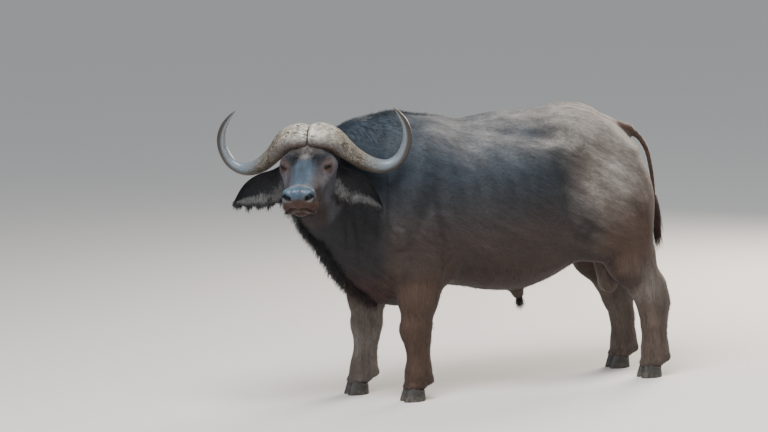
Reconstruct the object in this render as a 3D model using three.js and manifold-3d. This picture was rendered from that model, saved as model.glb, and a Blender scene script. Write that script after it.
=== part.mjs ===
// An African buffalo bull, life size in millimetres. It stands side on with its head turned to its left.
// The nose end faces -X, the animal's left is -Y, and the hooves stand on Z = 0.
import * as THREE from "three";
import { mergeVertices } from "three/addons/utils/BufferGeometryUtils.js";
import Module from "manifold-3d";

const wasm = await Module();
wasm.setup();

// Driving dimensions
const withersHeight = 1560;
const trunkFront = 1190; // chest, ahead of the point midway between fore and hind hooves
const trunkRear = -640; // buttock
const headTurn = 62; // the nose points this many degrees to the left of straight ahead
const headPitch = 25; // the face dips this many degrees below level
const eyesAt = [1432, 350, 1329]; // the point midway between the eyes, as forward, left and up
const eyeApart = 208;
const eyeRadius = 24;
const lidThick = 5;
const muzzleWide = 186;
const mouthGap = 5;
const hornReach = 503; // from the middle of the head to the outermost bend of a horn
const hornTips = { left: 443, right: 403 }; // from the middle of the head to each tip
const bossSplit = 7; // the groove between the two horn bases
const earThick = 9;
const hoofHigh = 78;
const hoofLong = 128;
const clawWide = 58;
const earLocks = 11;
const earLockLong = 52;
const throatLocks = 28;
const throatLockLong = 64;
const tuftLocks = 17;
const tuftLong = 205;
const sheathLocks = 5;
const seam = 0.3; // the gap between pieces that touch
const centreShift = [494.3, 130.9]; // moves the origin under the middle of the whole animal

// Places in the body are given as forward, left and up.
const at = (forward, left, up) => new THREE.Vector3(centreShift[0] - forward, centreShift[1] - left, up);
const point = (x, y, z) => new THREE.Vector3(x, y, z);
const mix = (a, b, t) => a + (b - a) * t;
const clamp = (x, low = 0, high = 1) => Math.min(high, Math.max(low, x));
const wave = (x) => x * x * (3 - 2 * x);

let seed = 20417;
function random(low = 0, high = 1) {
  seed = (seed * 48271) % 2147483647;
  return mix(low, high, seed / 2147483647);
}

// A form is a function of a point that is negative inside, and about the distance in millimetres outside.

// An ellipsoid, leaned about the sideways axis and then turned about the upright one.
function egg(centre, [long, wide, high], lean = 0, turn = 0) {
  const [leant, turned] = [lean, turn].map(THREE.MathUtils.degToRad);
  const angles = new THREE.Euler(0, leant, turned, "ZYX");
  const back = new THREE.Quaternion().setFromEuler(angles).invert();
  const p = new THREE.Vector3();
  return (q) => {
    p.copy(q).sub(centre).applyQuaternion(back);
    const near = Math.hypot(p.x / long, p.y / wide, p.z / high);
    const slope = Math.hypot(p.x / long ** 2, p.y / wide ** 2, p.z / high ** 2);
    return slope < 1e-9 ? -Math.min(long, wide, high) : (near * (near - 1)) / slope;
  };
}

// A bar with round ends between two points. Flat says how many times slimmer it is along x, y and z.
function limb(from, to, fromRadius, toRadius, flat = [1, 1, 1]) {
  const run = to.clone().sub(from);
  const runSquared = run.lengthSq();
  const most = Math.max(...flat);
  const p = new THREE.Vector3();
  return (q) => {
    p.copy(q).sub(from);
    const t = clamp(p.dot(run) / runSquared);
    p.addScaledVector(run, -t);
    return (Math.hypot(p.x * flat[0], p.y * flat[1], p.z * flat[2]) - mix(fromRadius, toRadius, t)) / most;
  };
}

// A run of upright sections, each given as place forward, top, bottom and half width, narrower at the top.
function barrel(sections, squareness = 2.25, narrowing = 0.13) {
  const column = (i) => sections.map((s) => s[i]);
  const places = column(0);
  const line = [1, 2, 3].map((i) => {
    const knots = places.map((x, k) => new THREE.Vector2(x, column(i)[k]));
    const samples = new THREE.SplineCurve(knots).getPoints(240);
    return (x) => {
      const k = clamp(samples.findIndex((s) => s.x >= x), 1, samples.length - 1);
      const [a, b] = [samples[k - 1], samples[k]];
      return mix(a.y, b.y, clamp((x - a.x) / (b.x - a.x)));
    };
  });
  return (q) => {
    const forward = centreShift[0] - q.x;
    const left = centreShift[1] - q.y;
    const x = clamp(forward, places[0], places[places.length - 1]);
    const [top, bottom, half] = line.map((height) => height(x));
    const high = (top - bottom) / 2;
    const rise = (q.z - (top + bottom) / 2) / high;
    const wide = half * (1 - narrowing * clamp(rise, -1, 1));
    const reach = (Math.abs(left / wide) ** squareness + Math.abs(rise) ** squareness) ** (1 / squareness);
    return (reach - 1) * Math.min(high, wide) + Math.abs(forward - x);
  };
}

// Forms are joined with a fillet. A blend gives one form a fillet of its own, and a dent takes a form out.
const blend = (form, width) => Object.assign((q) => form(q), { width });
const dent = (form, width) => Object.assign((q) => form(q), { width, dent: true });
function flesh(forms, width) {
  return (q) => {
    let d = 1e6;
    for (const form of forms) {
      const own = form.dent ? -form(q) : form(q);
      const w = form.width ?? width;
      const h = Math.max(w - Math.abs(d - own), 0) / w;
      d = form.dent ? Math.max(d, own) + (h * h * w) / 4 : Math.min(d, own) - (h * h * w) / 4;
    }
    return d;
  };
}

// Wraps a sphere's grid on a form. Rays leave a line square to it, fan out at its ends and stop at the skin.
function wrap(form, line, { sides, rings, reach, fan = 0.16, up = point(0, 0, 1), grow = 0 }) {
  const curve = new THREE.CatmullRomCurve3(line);
  const grid = new THREE.SphereGeometry(1, sides, rings);
  const points = grid.attributes.position;
  const way = new THREE.Vector3();
  const probe = new THREE.Vector3();
  for (let i = 0; i < points.count; i++) {
    const share = 1 - Math.acos(clamp(points.getY(i), -1, 1)) / Math.PI;
    const round = Math.atan2(points.getZ(i), points.getX(i));
    const t = clamp((share - fan) / (1 - 2 * fan));
    const tilt = share < fan ? share / fan - 1 : Math.max((share - 1) / fan + 1, 0);
    const lift = (tilt * Math.PI) / 2;
    const start = curve.getPointAt(t);
    const along = curve.getTangentAt(t);
    const side = new THREE.Vector3().crossVectors(along, up).normalize();
    const rise = new THREE.Vector3().crossVectors(side, along);
    way.copy(side).multiplyScalar(Math.sin(round)).addScaledVector(rise, -Math.cos(round));
    way.multiplyScalar(Math.cos(lift)).addScaledVector(along, Math.sin(lift));
    const inside = (distance) => form(probe.copy(start).addScaledVector(way, distance)) < grow;
    const steps = 56;
    let step = steps;
    while (step > 1 && !inside((reach * step) / steps)) step--;
    let [near, far] = [(reach * step) / steps, (reach * (step + 1)) / steps];
    if (step === 1) [near, far] = [reach / 200, reach / steps];
    for (let halving = 0; halving < 12; halving++) {
      const half = (near + far) / 2;
      if (inside(half)) near = half;
      else far = half;
    }
    probe.copy(start).addScaledVector(way, near);
    points.setXYZ(i, probe.x, probe.y, probe.z);
  }
  return solid(grid);
}

// A solid is a closed mesh that can be joined and cut. One that a mirrored shape left inside out is turned.
function solid(geometry) {
  const bare = new THREE.BufferGeometry();
  bare.setAttribute("position", geometry.attributes.position);
  bare.setIndex(geometry.index);
  const merged = mergeVertices(bare, 1e-3);
  const vertProperties = merged.attributes.position.array;
  const triVerts = new Uint32Array(merged.index.array);
  const made = new wasm.Manifold(new wasm.Mesh({ numProp: 3, vertProperties, triVerts }));
  if (made.volume() > 0) return made;
  return new wasm.Manifold(new wasm.Mesh({ numProp: 3, vertProperties, triVerts: triVerts.reverse() }));
}

function largest(body) {
  return body.decompose().reduce((best, piece) => (piece.volume() > best.volume() ? piece : best));
}

function join(pieces) {
  return pieces.reduce((sum, piece) => sum.add(piece));
}

const group = new THREE.Group();
function place(name, body, material) {
  const { numProp, numVert, vertProperties, triVerts } = largest(body).getMesh();
  const places = new Float32Array(numVert * 3);
  for (let i = 0; i < numVert; i++) places.set(vertProperties.subarray(i * numProp, i * numProp + 3), i * 3);
  const geometry = new THREE.BufferGeometry();
  geometry.setAttribute("position", new THREE.BufferAttribute(places, 3));
  geometry.setIndex(new THREE.BufferAttribute(new Uint32Array(triVerts), 1));
  geometry.computeVertexNormals();
  const mesh = new THREE.Mesh(geometry, material);
  mesh.name = name;
  group.add(mesh);
}

const hide = new THREE.MeshStandardMaterial({ color: 0x3a3634, roughness: 0.85, metalness: 0 });
const hair = new THREE.MeshStandardMaterial({ color: 0x1f1b1a, roughness: 0.9, metalness: 0 });
const hornGrey = new THREE.MeshStandardMaterial({ color: 0x8d8a80, roughness: 0.6, metalness: 0 });
const eyeBrown = new THREE.MeshStandardMaterial({ color: 0x1a0f0a, roughness: 0.1, metalness: 0 });
const hoofDark = new THREE.MeshStandardMaterial({ color: 0x23201e, roughness: 0.6, metalness: 0 });

// Trunk sections: place forward, top, bottom and half width
const trunk = barrel([
  [trunkRear, 1170, 900, 40],
  [-560, 1395, 760, 150],
  [-400, 1492, 690, 225],
  [-240, 1540, 668, 285],
  [-60, 1532, 590, 345],
  [130, 1526, 535, 382],
  [330, 1506, 548, 378],
  [450, 1496, 575, 350],
  [600, 1533, 590, 315],
  [760, withersHeight - 12, 545, 285],
  [900, withersHeight - 36, 530, 245],
  [1040, 1492, 580, 200],
  [1140, 1420, 690, 140],
  [trunkFront, 1300, 860, 60],
]);

// Thigh and shoulder of one side. Stride is how far forward that leg stands of the near one.
function thigh(side, stride) {
  return [
    egg(at(-395 + stride, side * 165, 1050), [235, 135, 330], -8),
    limb(at(-420 + stride, side * 180, 970), at(-492 + stride, side * 190, 715), 205, 150, [1, 1.38, 1]),
    limb(at(-240 + stride, side * 215, 980), at(-260 + stride, side * 225, 810), 150, 120, [1, 1.4, 1]),
    blend(egg(at(-225, side * 180, 1400), [125, 70, 60], 4), 150),
  ];
}
function shoulder(side, stride) {
  return [
    egg(at(735, side * 190, 1120), [205, 108, 330], 12),
    limb(at(930, side * 160, 900), at(770 + stride, side * 178, 740), 150, 135, [1, 1.4, 1]),
    limb(at(640, side * 205, 930), at(700 + stride, side * 190, 730), 132, 104, [1, 1.4, 1]),
  ];
}
const crest = limb(at(860, 0, 1095), at(1120, 35, 1096), 200, 184, [1, 1, 0.49]);
const nape = limb(at(1120, 35, 1096), at(1320, 160, 1215), 184, 146, [1, 1, 0.56]);
const throat = limb(at(1120, 60, 880), at(1290, 180, 1030), 105, 80, [1, 1, 0.8]);
const bodyField = flesh(
  [
    trunk,
    ...shoulder(1, 0),
    ...shoulder(-1, 150),
    ...thigh(1, 0),
    ...thigh(-1, 45),
    limb(at(880, 0, 640), at(820, 0, 600), 110, 80),
    dent(egg(at(-150, 440, 1130), [90, 110, 190]), 120),
    dent(egg(at(-150, -440, 1130), [90, 110, 190]), 120),
    crest,
    nape,
    throat,
  ],
  90,
);
const spine = [
  at(-400, 0, 1060),
  at(100, 0, 1030),
  at(700, 0, 1060),
  at(1080, 25, 1120),
  at(1310, 150, 1230),
];
const bodyWrap = (grow) => wrap(bodyField, spine, { sides: 36, rings: 50, reach: 640, fan: 0.17, grow });
const body = bodyWrap(0);
const bodyGrown = bodyWrap(seam);

// The neck leaves the trunk at a plane that slopes from the withers down to the breast.
const collarTop = at(905, 0, 1570);
const collarWay = point(-0.955, 0, 0.297);
const collarPlace = collarTop.dot(collarWay);
const beforeCollar = (body) => body.trimByPlane(collarWay.toArray(), collarPlace + seam / 2);
const trunkSide = body.trimByPlane(collarWay.clone().negate().toArray(), -collarPlace + seam / 2);

// The head has its own frame: x runs down the face to the nose, y to its left and z out of the forehead.
const [turn, dip] = [headTurn, headPitch].map(THREE.MathUtils.degToRad);
const noseWay = point(-Math.cos(turn) * Math.cos(dip), -Math.sin(turn) * Math.cos(dip), -Math.sin(dip));
const leftWay = new THREE.Vector3().crossVectors(point(0, 0, 1), noseWay).normalize();
const browWay = new THREE.Vector3().crossVectors(noseWay, leftWay);
const headFrame = new THREE.Matrix4().makeBasis(noseWay, leftWay, browWay).setPosition(at(...eyesAt));
const intoPlace = (body) => body.transform(headFrame.toArray());
const both = (make) => [make(1), make(-1)].flat();

const eyeAt = (side) => point(2, (side * eyeApart) / 2, -2);
const headField = flesh(
  [
    egg(point(-120, 0, -45), [150, 126, 108]),
    limb(point(-120, 0, 0), point(20, 0, -2), 60, 54, [1, 0.5, 1]),
    limb(point(20, 0, -6), point(262, 0, -8), 54, 48, [1, 0.74, 1]),
    ...both((side) => blend(egg(point(-26, side * 112, 0), [46, 36, 40]), 34)),
    ...both((side) => blend(limb(point(-80, side * 126, -38), point(120, side * 78, -48), 30, 24), 40)),
    ...both((side) => egg(point(-50, side * 80, -112), [132, 48, 98], 18)),
    limb(point(-60, 0, -150), point(215, 0, -100), 84, 44, [1, 0.9, 1]),
    limb(point(20, 0, -70), point(250, 0, -50), 80, 56, [1, 0.92, 1]),
    blend(egg(point(272, 0, -22), [66, muzzleWide / 2 - 6, 70]), 30),
    ...both((side) => blend(egg(point(264, side * 56, -66), [54, 34, 40]), 26)),
    ...both((side) => blend(egg(point(296, side * 54, 18), [34, 32, 32]), 24)),
    blend(egg(point(298, 0, 10), [36, 62, 38]), 24),
    blend(egg(point(256, 0, -106), [42, 54, 32]), 22),
    ...both((side) => dent(egg(point(46, side * 98, 56), [58, 36, 36]), 40)),
    dent(egg(point(350, 0, 22), [22, 14, 40]), 22),
  ],
  46,
);
const headLine = [point(-190, 0, -50), point(0, 0, -70), point(245, 0, -62)];
function headWrap(grow, sides = 32, rings = 30) {
  return wrap(headField, headLine, { sides, rings, reach: 330, grow });
}

// The line of the mouth is a thin slot that follows the drooping upper lip, 14 mm deep.
function mouthSlot() {
  const slab = new THREE.BoxGeometry(230, 230, mouthGap, 5, 8, 1);
  const points = slab.attributes.position;
  for (let i = 0; i < points.count; i++) {
    const droop = Math.min(Math.abs(points.getY(i)) / 86, 1.15) ** 2;
    const x = points.getX(i) + 255;
    points.setXYZ(i, x, points.getY(i), points.getZ(i) - 50 - 42 * droop + 0.1 * Math.max(0, 230 - x));
  }
  return solid(slab).subtract(headWrap(-14, 14, 16));
}

// A ball stretched along its own x and set down with its x along a direction.
function ball(centre, way, [long, wide, high], sides = 12, rings = 8) {
  const sphere = new THREE.SphereGeometry(1, sides, rings).scale(long, wide, high);
  const ahead = way.clone().normalize();
  const across = new THREE.Vector3().crossVectors(point(0, 0, 1), ahead).normalize();
  const over = new THREE.Vector3().crossVectors(ahead, across);
  sphere.applyMatrix4(new THREE.Matrix4().makeBasis(ahead, across, over).setPosition(centre));
  return solid(sphere);
}
const lookWay = (side) => point(0.62, side, 0.16).normalize();
const lids = (side) => ball(eyeAt(side), lookWay(side), Array(3).fill(eyeRadius + lidThick + seam));
const slit = (side) => ball(eyeAt(side).addScaledVector(lookWay(side), 24), lookWay(side), [26, 17, 9.5]);
const eyeBall = (side, grow) => ball(eyeAt(side), lookWay(side), Array(3).fill(eyeRadius + grow), 10, 7);
const socket = (side) => eyeBall(side, seam);
const nostril = (side) => {
  const line = [point(328, side * 51, 16), point(302, side * 64, 28)];
  return wrap(limb(...line, 14, 8), line, { sides: 8, rings: 6, reach: 60, fan: 0.3 });
};
const head = headWrap(0)
  .add(join(both(lids)))
  .subtract(join([...both(slit), ...both(nostril), mouthSlot()]))
  .subtract(join(both(socket)));
const headGrown = headWrap(seam);

// A tube follows sections, each given as x, y, z, half width towards the front and half thickness across it.
function tube(sections, { front, sides, rings, rootShare = 0.08, grow = 0 }) {
  const middle = new THREE.CatmullRomCurve3(sections.map(([x, y, z]) => point(x, y, z)));
  const sizes = new THREE.CatmullRomCurve3(sections.map((s) => point(s[3], s[4], 0)));
  const grid = new THREE.SphereGeometry(1, sides, rings);
  const points = grid.attributes.position;
  for (let i = 0; i < points.count; i++) {
    const share = Math.acos(clamp(points.getY(i), -1, 1)) / Math.PI;
    const round = Math.atan2(points.getZ(i), points.getX(i));
    const t = clamp((share - rootShare) / (1 - rootShare));
    const centre = middle.getPoint(t);
    const along = middle.getTangent(t);
    const wideWay = front.clone().addScaledVector(along, -front.dot(along)).normalize();
    const thickWay = new THREE.Vector3().crossVectors(along, wideWay);
    const closing = share > 0.999 ? 0 : clamp(share / rootShare);
    const size = sizes.getPoint(t);
    centre.addScaledVector(wideWay, Math.cos(round) * (size.x + grow) * closing);
    centre.addScaledVector(thickWay, Math.sin(round) * (size.y + grow) * closing);
    points.setXYZ(i, centre.x, centre.y, centre.z);
  }
  return solid(grid);
}

// Horn sections lead out from the middle of the head. Its last ones lean in or out to the tip's own place.
const hornSections = [
  [-180, 0, 76, 94, 54],
  [-182, 60, 82, 99, 60],
  [-188, 128, 55, 92, 56],
  [-197, 182, -6, 74, 46],
  [-205, 226, -56, 61, 42],
  [-215, 276, -101, 50, 39],
  [-228, 336, -134, 42, 37],
  [-244, 400, -143, 36, 34],
  [-262, 458, -112, 31, 31],
  [-277, 494, -45, 28, 28],
  [-285, hornReach, 25, 25, 25],
  [-292, 488, 92, 20, 20],
  [-298, 455, 148, 11, 11],
  [-300, 427, 178, 3, 3],
];
function hornSolid(side, grow) {
  const last = hornSections.length - 1;
  const shift = hornTips[side > 0 ? "left" : "right"] - hornSections[last][1];
  const leaning = hornSections.map(([x, y, z, wide, thick], i) => {
    return [x, y + shift * wave(clamp((i - last + 5) / 5)), z, wide, thick];
  });
  const horn = tube(leaning, { front: point(1, 0, 0), sides: 16, rings: 26, grow });
  const parted = horn.trimByPlane([0, 1, 0], bossSplit / 2 - grow);
  return intoPlace(side > 0 ? parted : parted.mirror([0, 1, 0]));
}

// A lock is flattened towards its face, bends, and is half as wide at its root in the skin as at its belly.
const lockBelly = 0.31; // how far along a lock its widest place is
function lock(root, way, length, width, thick, face, bend) {
  const cone = new THREE.ConeGeometry(1, 1, 4, 2);
  const points = cone.attributes.position;
  const out = face.clone().addScaledVector(way, -face.dot(way)).normalize();
  const across = new THREE.Vector3().crossVectors(way, out);
  const p = new THREE.Vector3();
  for (let i = 0; i < points.count; i++) {
    const row = points.getY(i) + 0.5;
    const rise = row < 0.75 ? 2 * row * lockBelly : 1;
    const swell = mix(0.5, 2, clamp(2 * row));
    p.copy(root).addScaledVector(way, rise * length).addScaledVector(bend, rise * rise);
    p.addScaledVector(across, (points.getX(i) * width * swell) / 2);
    p.addScaledVector(out, (points.getZ(i) * thick * swell) / 2);
    points.setXYZ(i, p.x, p.y, p.z);
  }
  return solid(cone);
}

// An ear is a cupped leaf between an upper and a lower edge, which run from its root to its tip. All places
// are in the head's frame, on the left side.
const earRoot = { upper: [-100, 112, -12], lower: [-60, 112, -98] };
const earEdges = {
  left: {
    upper: [[-92, 190, -58], [-100, 258, -96], [-110, 308, -150], [-115, 340, -226]],
    lower: [[-22, 148, -196], [-38, 210, -238], [-70, 272, -260], [-98, 322, -294]],
    tip: [-120, 366, -330],
  },
  right: {
    upper: [[-92, 190, -60], [-100, 278, -95], [-110, 342, -140], [-115, 388, -193]],
    lower: [[-22, 150, -194], [-38, 240, -236], [-70, 320, -256], [-98, 384, -268]],
    tip: [-120, 436, -276],
  },
};
function earPoint(edges, u, v) {
  const [top, bottom] = ["upper", "lower"].map((edge) => {
    const line = [earRoot[edge], ...edges[edge], edges.tip].map((p) => point(...p));
    return new THREE.CatmullRomCurve3(line).getPointAt(u);
  });
  const depth = 46 * wave(clamp(u / 0.2)) * (1 - u) ** 0.6 + 10 * (1 - u);
  return top.lerp(bottom, (v + 1) / 2).add(point(-1, 0.15, 0.1).multiplyScalar(depth * (1 - v * v)));
}
function earSolid(edges) {
  const grid = new THREE.SphereGeometry(1, 14, 12);
  const points = grid.attributes.position;
  for (let i = 0; i < points.count; i++) {
    const share = 1 - Math.acos(clamp(points.getY(i), -1, 1)) / Math.PI;
    const u = clamp(share, 0.001, 0.999);
    const round = Math.atan2(points.getZ(i), points.getX(i));
    const fromRoot = Math.sqrt(clamp(share - 1e-6) / 0.06);
    const fromTip = Math.sqrt(clamp(1 - 1e-6 - share) / 0.04);
    const closing = Math.min(1, fromRoot, fromTip);
    const v = Math.cos(round) * closing;
    const here = earPoint(edges, u, v);
    const alongEdge = earPoint(edges, Math.min(u + 0.01, 1), v).sub(earPoint(edges, u - 0.0009, v));
    const acrossLeaf = earPoint(edges, u, Math.min(v + 0.01, 1)).sub(earPoint(edges, u, v - 0.01));
    const face = new THREE.Vector3().crossVectors(alongEdge, acrossLeaf).normalize();
    here.addScaledVector(face, ((Math.sin(round) * earThick) / 2) * closing);
    points.setXYZ(i, here.x, here.y, here.z);
  }
  return solid(grid);
}
function earFringe(edges) {
  const locks = [];
  for (let k = 0; k < earLocks; k++) {
    const u = mix(0.26, 0.94, (k + random(0.3, 0.7)) / earLocks);
    const root = earPoint(edges, u, 0.88);
    const down = point(0.04, mix(0, 0.8, u) + random(-0.12, 0.12), -1).normalize();
    const length = earLockLong * random(0.8, 1.2) * mix(1.1, 0.75, u);
    const bend = point(random(-8, 2), random(2, 12), 0);
    locks.push(lock(root, down, length, random(25, 30), 4.5, point(1, 0, 0), bend));
  }
  return join(locks);
}
function ear(name, side) {
  const edges = earEdges[name];
  const leaf = earSolid(edges).add(earFringe(edges));
  return intoPlace(side > 0 ? leaf : leaf.mirror([0, 1, 0]));
}

// The throat fringe hangs in three uneven rows from the underside of the neck, from jaw to breast.
function throatFringe() {
  const midline = new THREE.CatmullRomCurve3(spine.slice(2));
  const locks = [];
  for (let k = 0; k < throatLocks; k++) {
    const t = mix(0.46, 0.9, (k + random(0, 0.8)) / throatLocks);
    const start = midline.getPointAt(t);
    const along = midline.getTangentAt(t);
    const side = new THREE.Vector3().crossVectors(along, point(0, 0, 1)).normalize();
    const spread = ((k % 3) - 1) * 0.16 + random(-0.05, 0.05);
    const down = new THREE.Vector3().crossVectors(along, side).addScaledVector(side, spread).normalize();
    let deep = 640;
    while (bodyField(start.clone().addScaledVector(down, deep)) > 0) deep -= 3;
    const root = start.clone().addScaledVector(down, deep - 12);
    const way = point(0.12, 0, -1).addScaledVector(down, 0.6).normalize();
    const bend = point(random(4, 20), random(-6, 6), random(-6, 0));
    const length = throatLockLong * random(0.75, 1.2) + 12;
    locks.push(lock(root, way, length, random(30, 40), 11, side, bend));
  }
  return join(locks);
}

place("torso", trunkSide, hide);
const horns = { left: hornSolid(1, 0), right: hornSolid(-1, 0) };
const headPlaced = intoPlace(head);
const headPlacedGrown = intoPlace(headGrown);
place("head", headPlaced, hide);
const headAndHorns = join([headPlacedGrown, hornSolid(1, seam), hornSolid(-1, seam)]);
place("neck", beforeCollar(body.add(throatFringe())).subtract(headAndHorns), hide);
place("horn_left", horns.left.subtract(headPlacedGrown), hornGrey);
place("horn_right", horns.right.subtract(headPlacedGrown), hornGrey);
place("ear_left", ear("left", 1).subtract(headPlacedGrown), hide);
place("ear_right", ear("right", -1).subtract(headPlacedGrown), hide);
place("eye_left", intoPlace(eyeBall(1, 0)), eyeBrown);
place("eye_right", intoPlace(eyeBall(-1, 0)), eyeBrown);

// Legs are listed from the top down: place forward, place to the left, height, and half width from the side.
const legBones = {
  foreleg_left: [
    [735, 185, 700, 112],
    [768, 190, 560, 106],
    [786, 188, 390, 80],
    [780, 188, 305, 62],
    [777, 188, 200, 59],
    [783, 188, 135, 69],
    [800, 188, 78, 64],
  ],
  foreleg_right: [
    [880, -170, 700, 116],
    [935, -172, 545, 106],
    [940, -172, 385, 82],
    [947, -172, 300, 62],
    [958, -172, 205, 59],
    [968, -172, 140, 69],
    [995, -172, 78, 64],
  ],
  hindleg_left: [
    [-420, 190, 800, 96],
    [-496, 198, 650, 122],
    [-598, 196, 500, 98],
    [-632, 194, 415, 84],
    [-630, 190, 300, 70],
    [-632, 190, 190, 66],
    [-632, 190, 130, 72],
    [-612, 190, 78, 66],
  ],
  hindleg_right: [
    [-370, -190, 800, 92],
    [-450, -198, 650, 116],
    [-560, -196, 490, 92],
    [-592, -194, 405, 80],
    [-610, -190, 290, 66],
    [-616, -190, 190, 62],
    [-614, -190, 130, 70],
    [-592, -190, 78, 64],
  ],
};
const legFlat = [1, 1.25, 1];

const dewclaws = ([forward, left, up]) =>
  both((side) => egg(at(forward - 62, left + side * 26, up - 22), [20, 15, 24], -20));

// A claw is a block that leans forward, flat below, rounded outside and nearly flat where it faces its twin.
function claw(forward, left, side, grow) {
  const block = new THREE.CylinderGeometry(1, 1, 1, 14, 2);
  const points = block.attributes.position;
  const grown = 1 + (2 * grow) / clawWide;
  for (let i = 0; i < points.count; i++) {
    const share = points.getY(i) + 0.5;
    const front = points.getX(i);
    const out = points.getZ(i);
    const reach = front > 0 ? mix(0.56, 0.34, share) : mix(0.44, 0.4, share);
    const half = (clawWide / 2) * mix(1, 0.86, share) * (out > 0 ? 1 : 0.96);
    const taper = 1 - 0.35 * Math.max(0, front) ** 3;
    const high = hoofHigh * share * mix(0.74, 1.06, (front + 1) / 2);
    const ahead = forward + front * reach * hoofLong * grown;
    const toSide = left + side * (clawWide / 2 + 2 + out * half * taper * grown);
    const spot = at(ahead, toSide, high * grown);
    points.setXYZ(i, spot.x, spot.y, spot.z);
  }
  return solid(block);
}

for (const [name, bones] of Object.entries(legBones)) {
  const joints = bones.map(([forward, left, height]) => at(forward, left, height));
  const halves = bones.map((bone) => bone[3]);
  const bars = joints.slice(1).map((joint, i) => limb(joints[i], joint, halves[i], halves[i + 1], legFlat));
  const form = flesh([...bars, ...dewclaws(bones[bones.length - 2])], 30);
  const leg = wrap(form, joints, { sides: 13, rings: 20, reach: 260, up: point(1, 0, 0) });
  const [forward, left] = bones[bones.length - 1];
  const claws = both((side) => claw(forward + 12, left, side, seam));
  place(name, leg.subtract(bodyGrown).subtract(join(claws)), hide);
  place(name.replace("leg", "hoof") + "_outer", claw(forward + 12, left, Math.sign(left), 0), hoofDark);
  place(name.replace("leg", "hoof") + "_inner", claw(forward + 12, left, -Math.sign(left), 0), hoofDark);
}

// The bag hangs between the thighs, and the sheath from the belly.
const bagLine = [at(-375, -10, 690), at(-442, -10, 530)];
const bagHalves = both((side) => egg(at(-446, side * 26 - 10, 520), [46, 34, 56]));
const bagForm = flesh([limb(at(-375, -10, 740), bagLine[1], 44, 52), ...bagHalves], 30);
const bag = wrap(bagForm, bagLine, { sides: 12, rings: 10, reach: 130, fan: 0.3 });
place("scrotum", bag.subtract(bodyGrown), hide);

const tailSections = [
  [-470, 1378, 36],
  [-524, 1392, 31],
  [-588, 1380, 26],
  [-650, 1333, 22],
  [-699, 1254, 19],
  [-726, 1134, 17],
  [-735, 1040, 16],
  [-739, 950, 14],
  [-740, 910, 13],
].map(([forward, up, radius]) => [...at(forward, 0, up).toArray(), radius, radius]);
const tail = tube(tailSections, { front: point(0, 1, 0), sides: 9, rings: 16, rootShare: 0.05 });
const tailEnd = 950;
place("tail_upper", tail.trimByPlane([0, 0, 1], tailEnd).subtract(bodyGrown), hide);

// The tuft is a slim core with overlapping locks, which leave it at a spiral of roots.
const tuftTop = at(-739, 0, tailEnd - seam);
const tuftCore = [
  [0, 24, 14],
  [0, -14, 17],
  [4, -90, 22],
  [12, -170, 14],
  [18, -215, 3],
].map(([back, drop, radius]) => [tuftTop.x + back, tuftTop.y, tuftTop.z + drop, radius, radius]);
function tuftFringe() {
  const locks = [];
  for (let k = 0; k < tuftLocks; k++) {
    const drop = mix(8, 165, k / (tuftLocks - 1));
    const angle = k * 2.39996;
    const out = point(Math.cos(angle), Math.sin(angle), 0);
    const root = tuftTop.clone().addScaledVector(out, 9 - drop * 0.03);
    root.x += drop * 0.06;
    root.z -= drop;
    const way = point(0.1, 0, -1).addScaledVector(out, random(0.1, 0.19)).normalize();
    const bend = out.clone().multiplyScalar(random(-16, -4));
    const length = tuftLong * random(0.8, 1.0);
    locks.push(lock(root, way, length, random(25, 32), 11, out, bend));
  }
  return join(locks);
}
const tuftBase = tube(tuftCore, { front: point(0, 1, 0), sides: 9, rings: 9, rootShare: 0.02 });
place("tail_tuft", tuftBase.add(tuftFringe()).trimByPlane([0, 0, -1], -tuftTop.z), hair);

const sheathSections = [
  [130, 590, 60],
  [118, 540, 52],
  [106, 505, 30],
  [101, 484, 16],
  [100, 478, 4],
].map(([forward, up, radius]) => [...at(forward, 0, up).toArray(), radius * 1.4, radius]);
const sheath = tube(sheathSections, { front: point(1, 0, 0), sides: 11, rings: 9 });
const sheathTip = at(101, 0, 492);
const sheathTuft = [];
for (let k = 0; k < sheathLocks; k++) {
  const angle = (k / sheathLocks) * 2 * Math.PI;
  const out = point(Math.cos(angle), Math.sin(angle), 0);
  const root = sheathTip.clone().addScaledVector(out, 6);
  const way = point(0.1, 0, -1).addScaledVector(out, 0.22).normalize();
  sheathTuft.push(lock(root, way, random(46, 62), 18, 9, out, out.clone().multiplyScalar(-7)));
}
place("sheath", sheath.add(join(sheathTuft)).subtract(bodyGrown), hide);

export default group;
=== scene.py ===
# An African buffalo bull, life size, in metres: one skin, with horns, eyes, hooves and tufts of hair.
# The nose end faces -X, the animal's left is -Y and the hooves stand on Z = 0.
import math
import bpy
import numpy as np
from mathutils import Matrix


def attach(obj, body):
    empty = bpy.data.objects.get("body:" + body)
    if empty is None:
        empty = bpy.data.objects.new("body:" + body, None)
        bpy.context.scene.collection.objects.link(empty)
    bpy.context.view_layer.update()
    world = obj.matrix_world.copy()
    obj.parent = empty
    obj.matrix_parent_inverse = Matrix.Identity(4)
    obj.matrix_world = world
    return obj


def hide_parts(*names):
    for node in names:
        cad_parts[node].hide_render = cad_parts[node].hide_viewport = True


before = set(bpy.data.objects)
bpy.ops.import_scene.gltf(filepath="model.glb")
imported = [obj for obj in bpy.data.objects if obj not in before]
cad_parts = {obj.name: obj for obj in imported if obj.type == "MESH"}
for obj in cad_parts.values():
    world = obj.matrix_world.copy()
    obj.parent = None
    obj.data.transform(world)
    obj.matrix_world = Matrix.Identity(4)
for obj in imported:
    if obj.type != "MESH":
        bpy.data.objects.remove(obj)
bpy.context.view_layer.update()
mm = 0.001
shift = np.array([0.4943, 0.1309])  # where the point midway between the hooves lies, as x and y
rng = np.random.default_rng(417)
print("frame loaded:", len(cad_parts), "nodes")


# Small helpers for whole arrays of points

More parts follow.
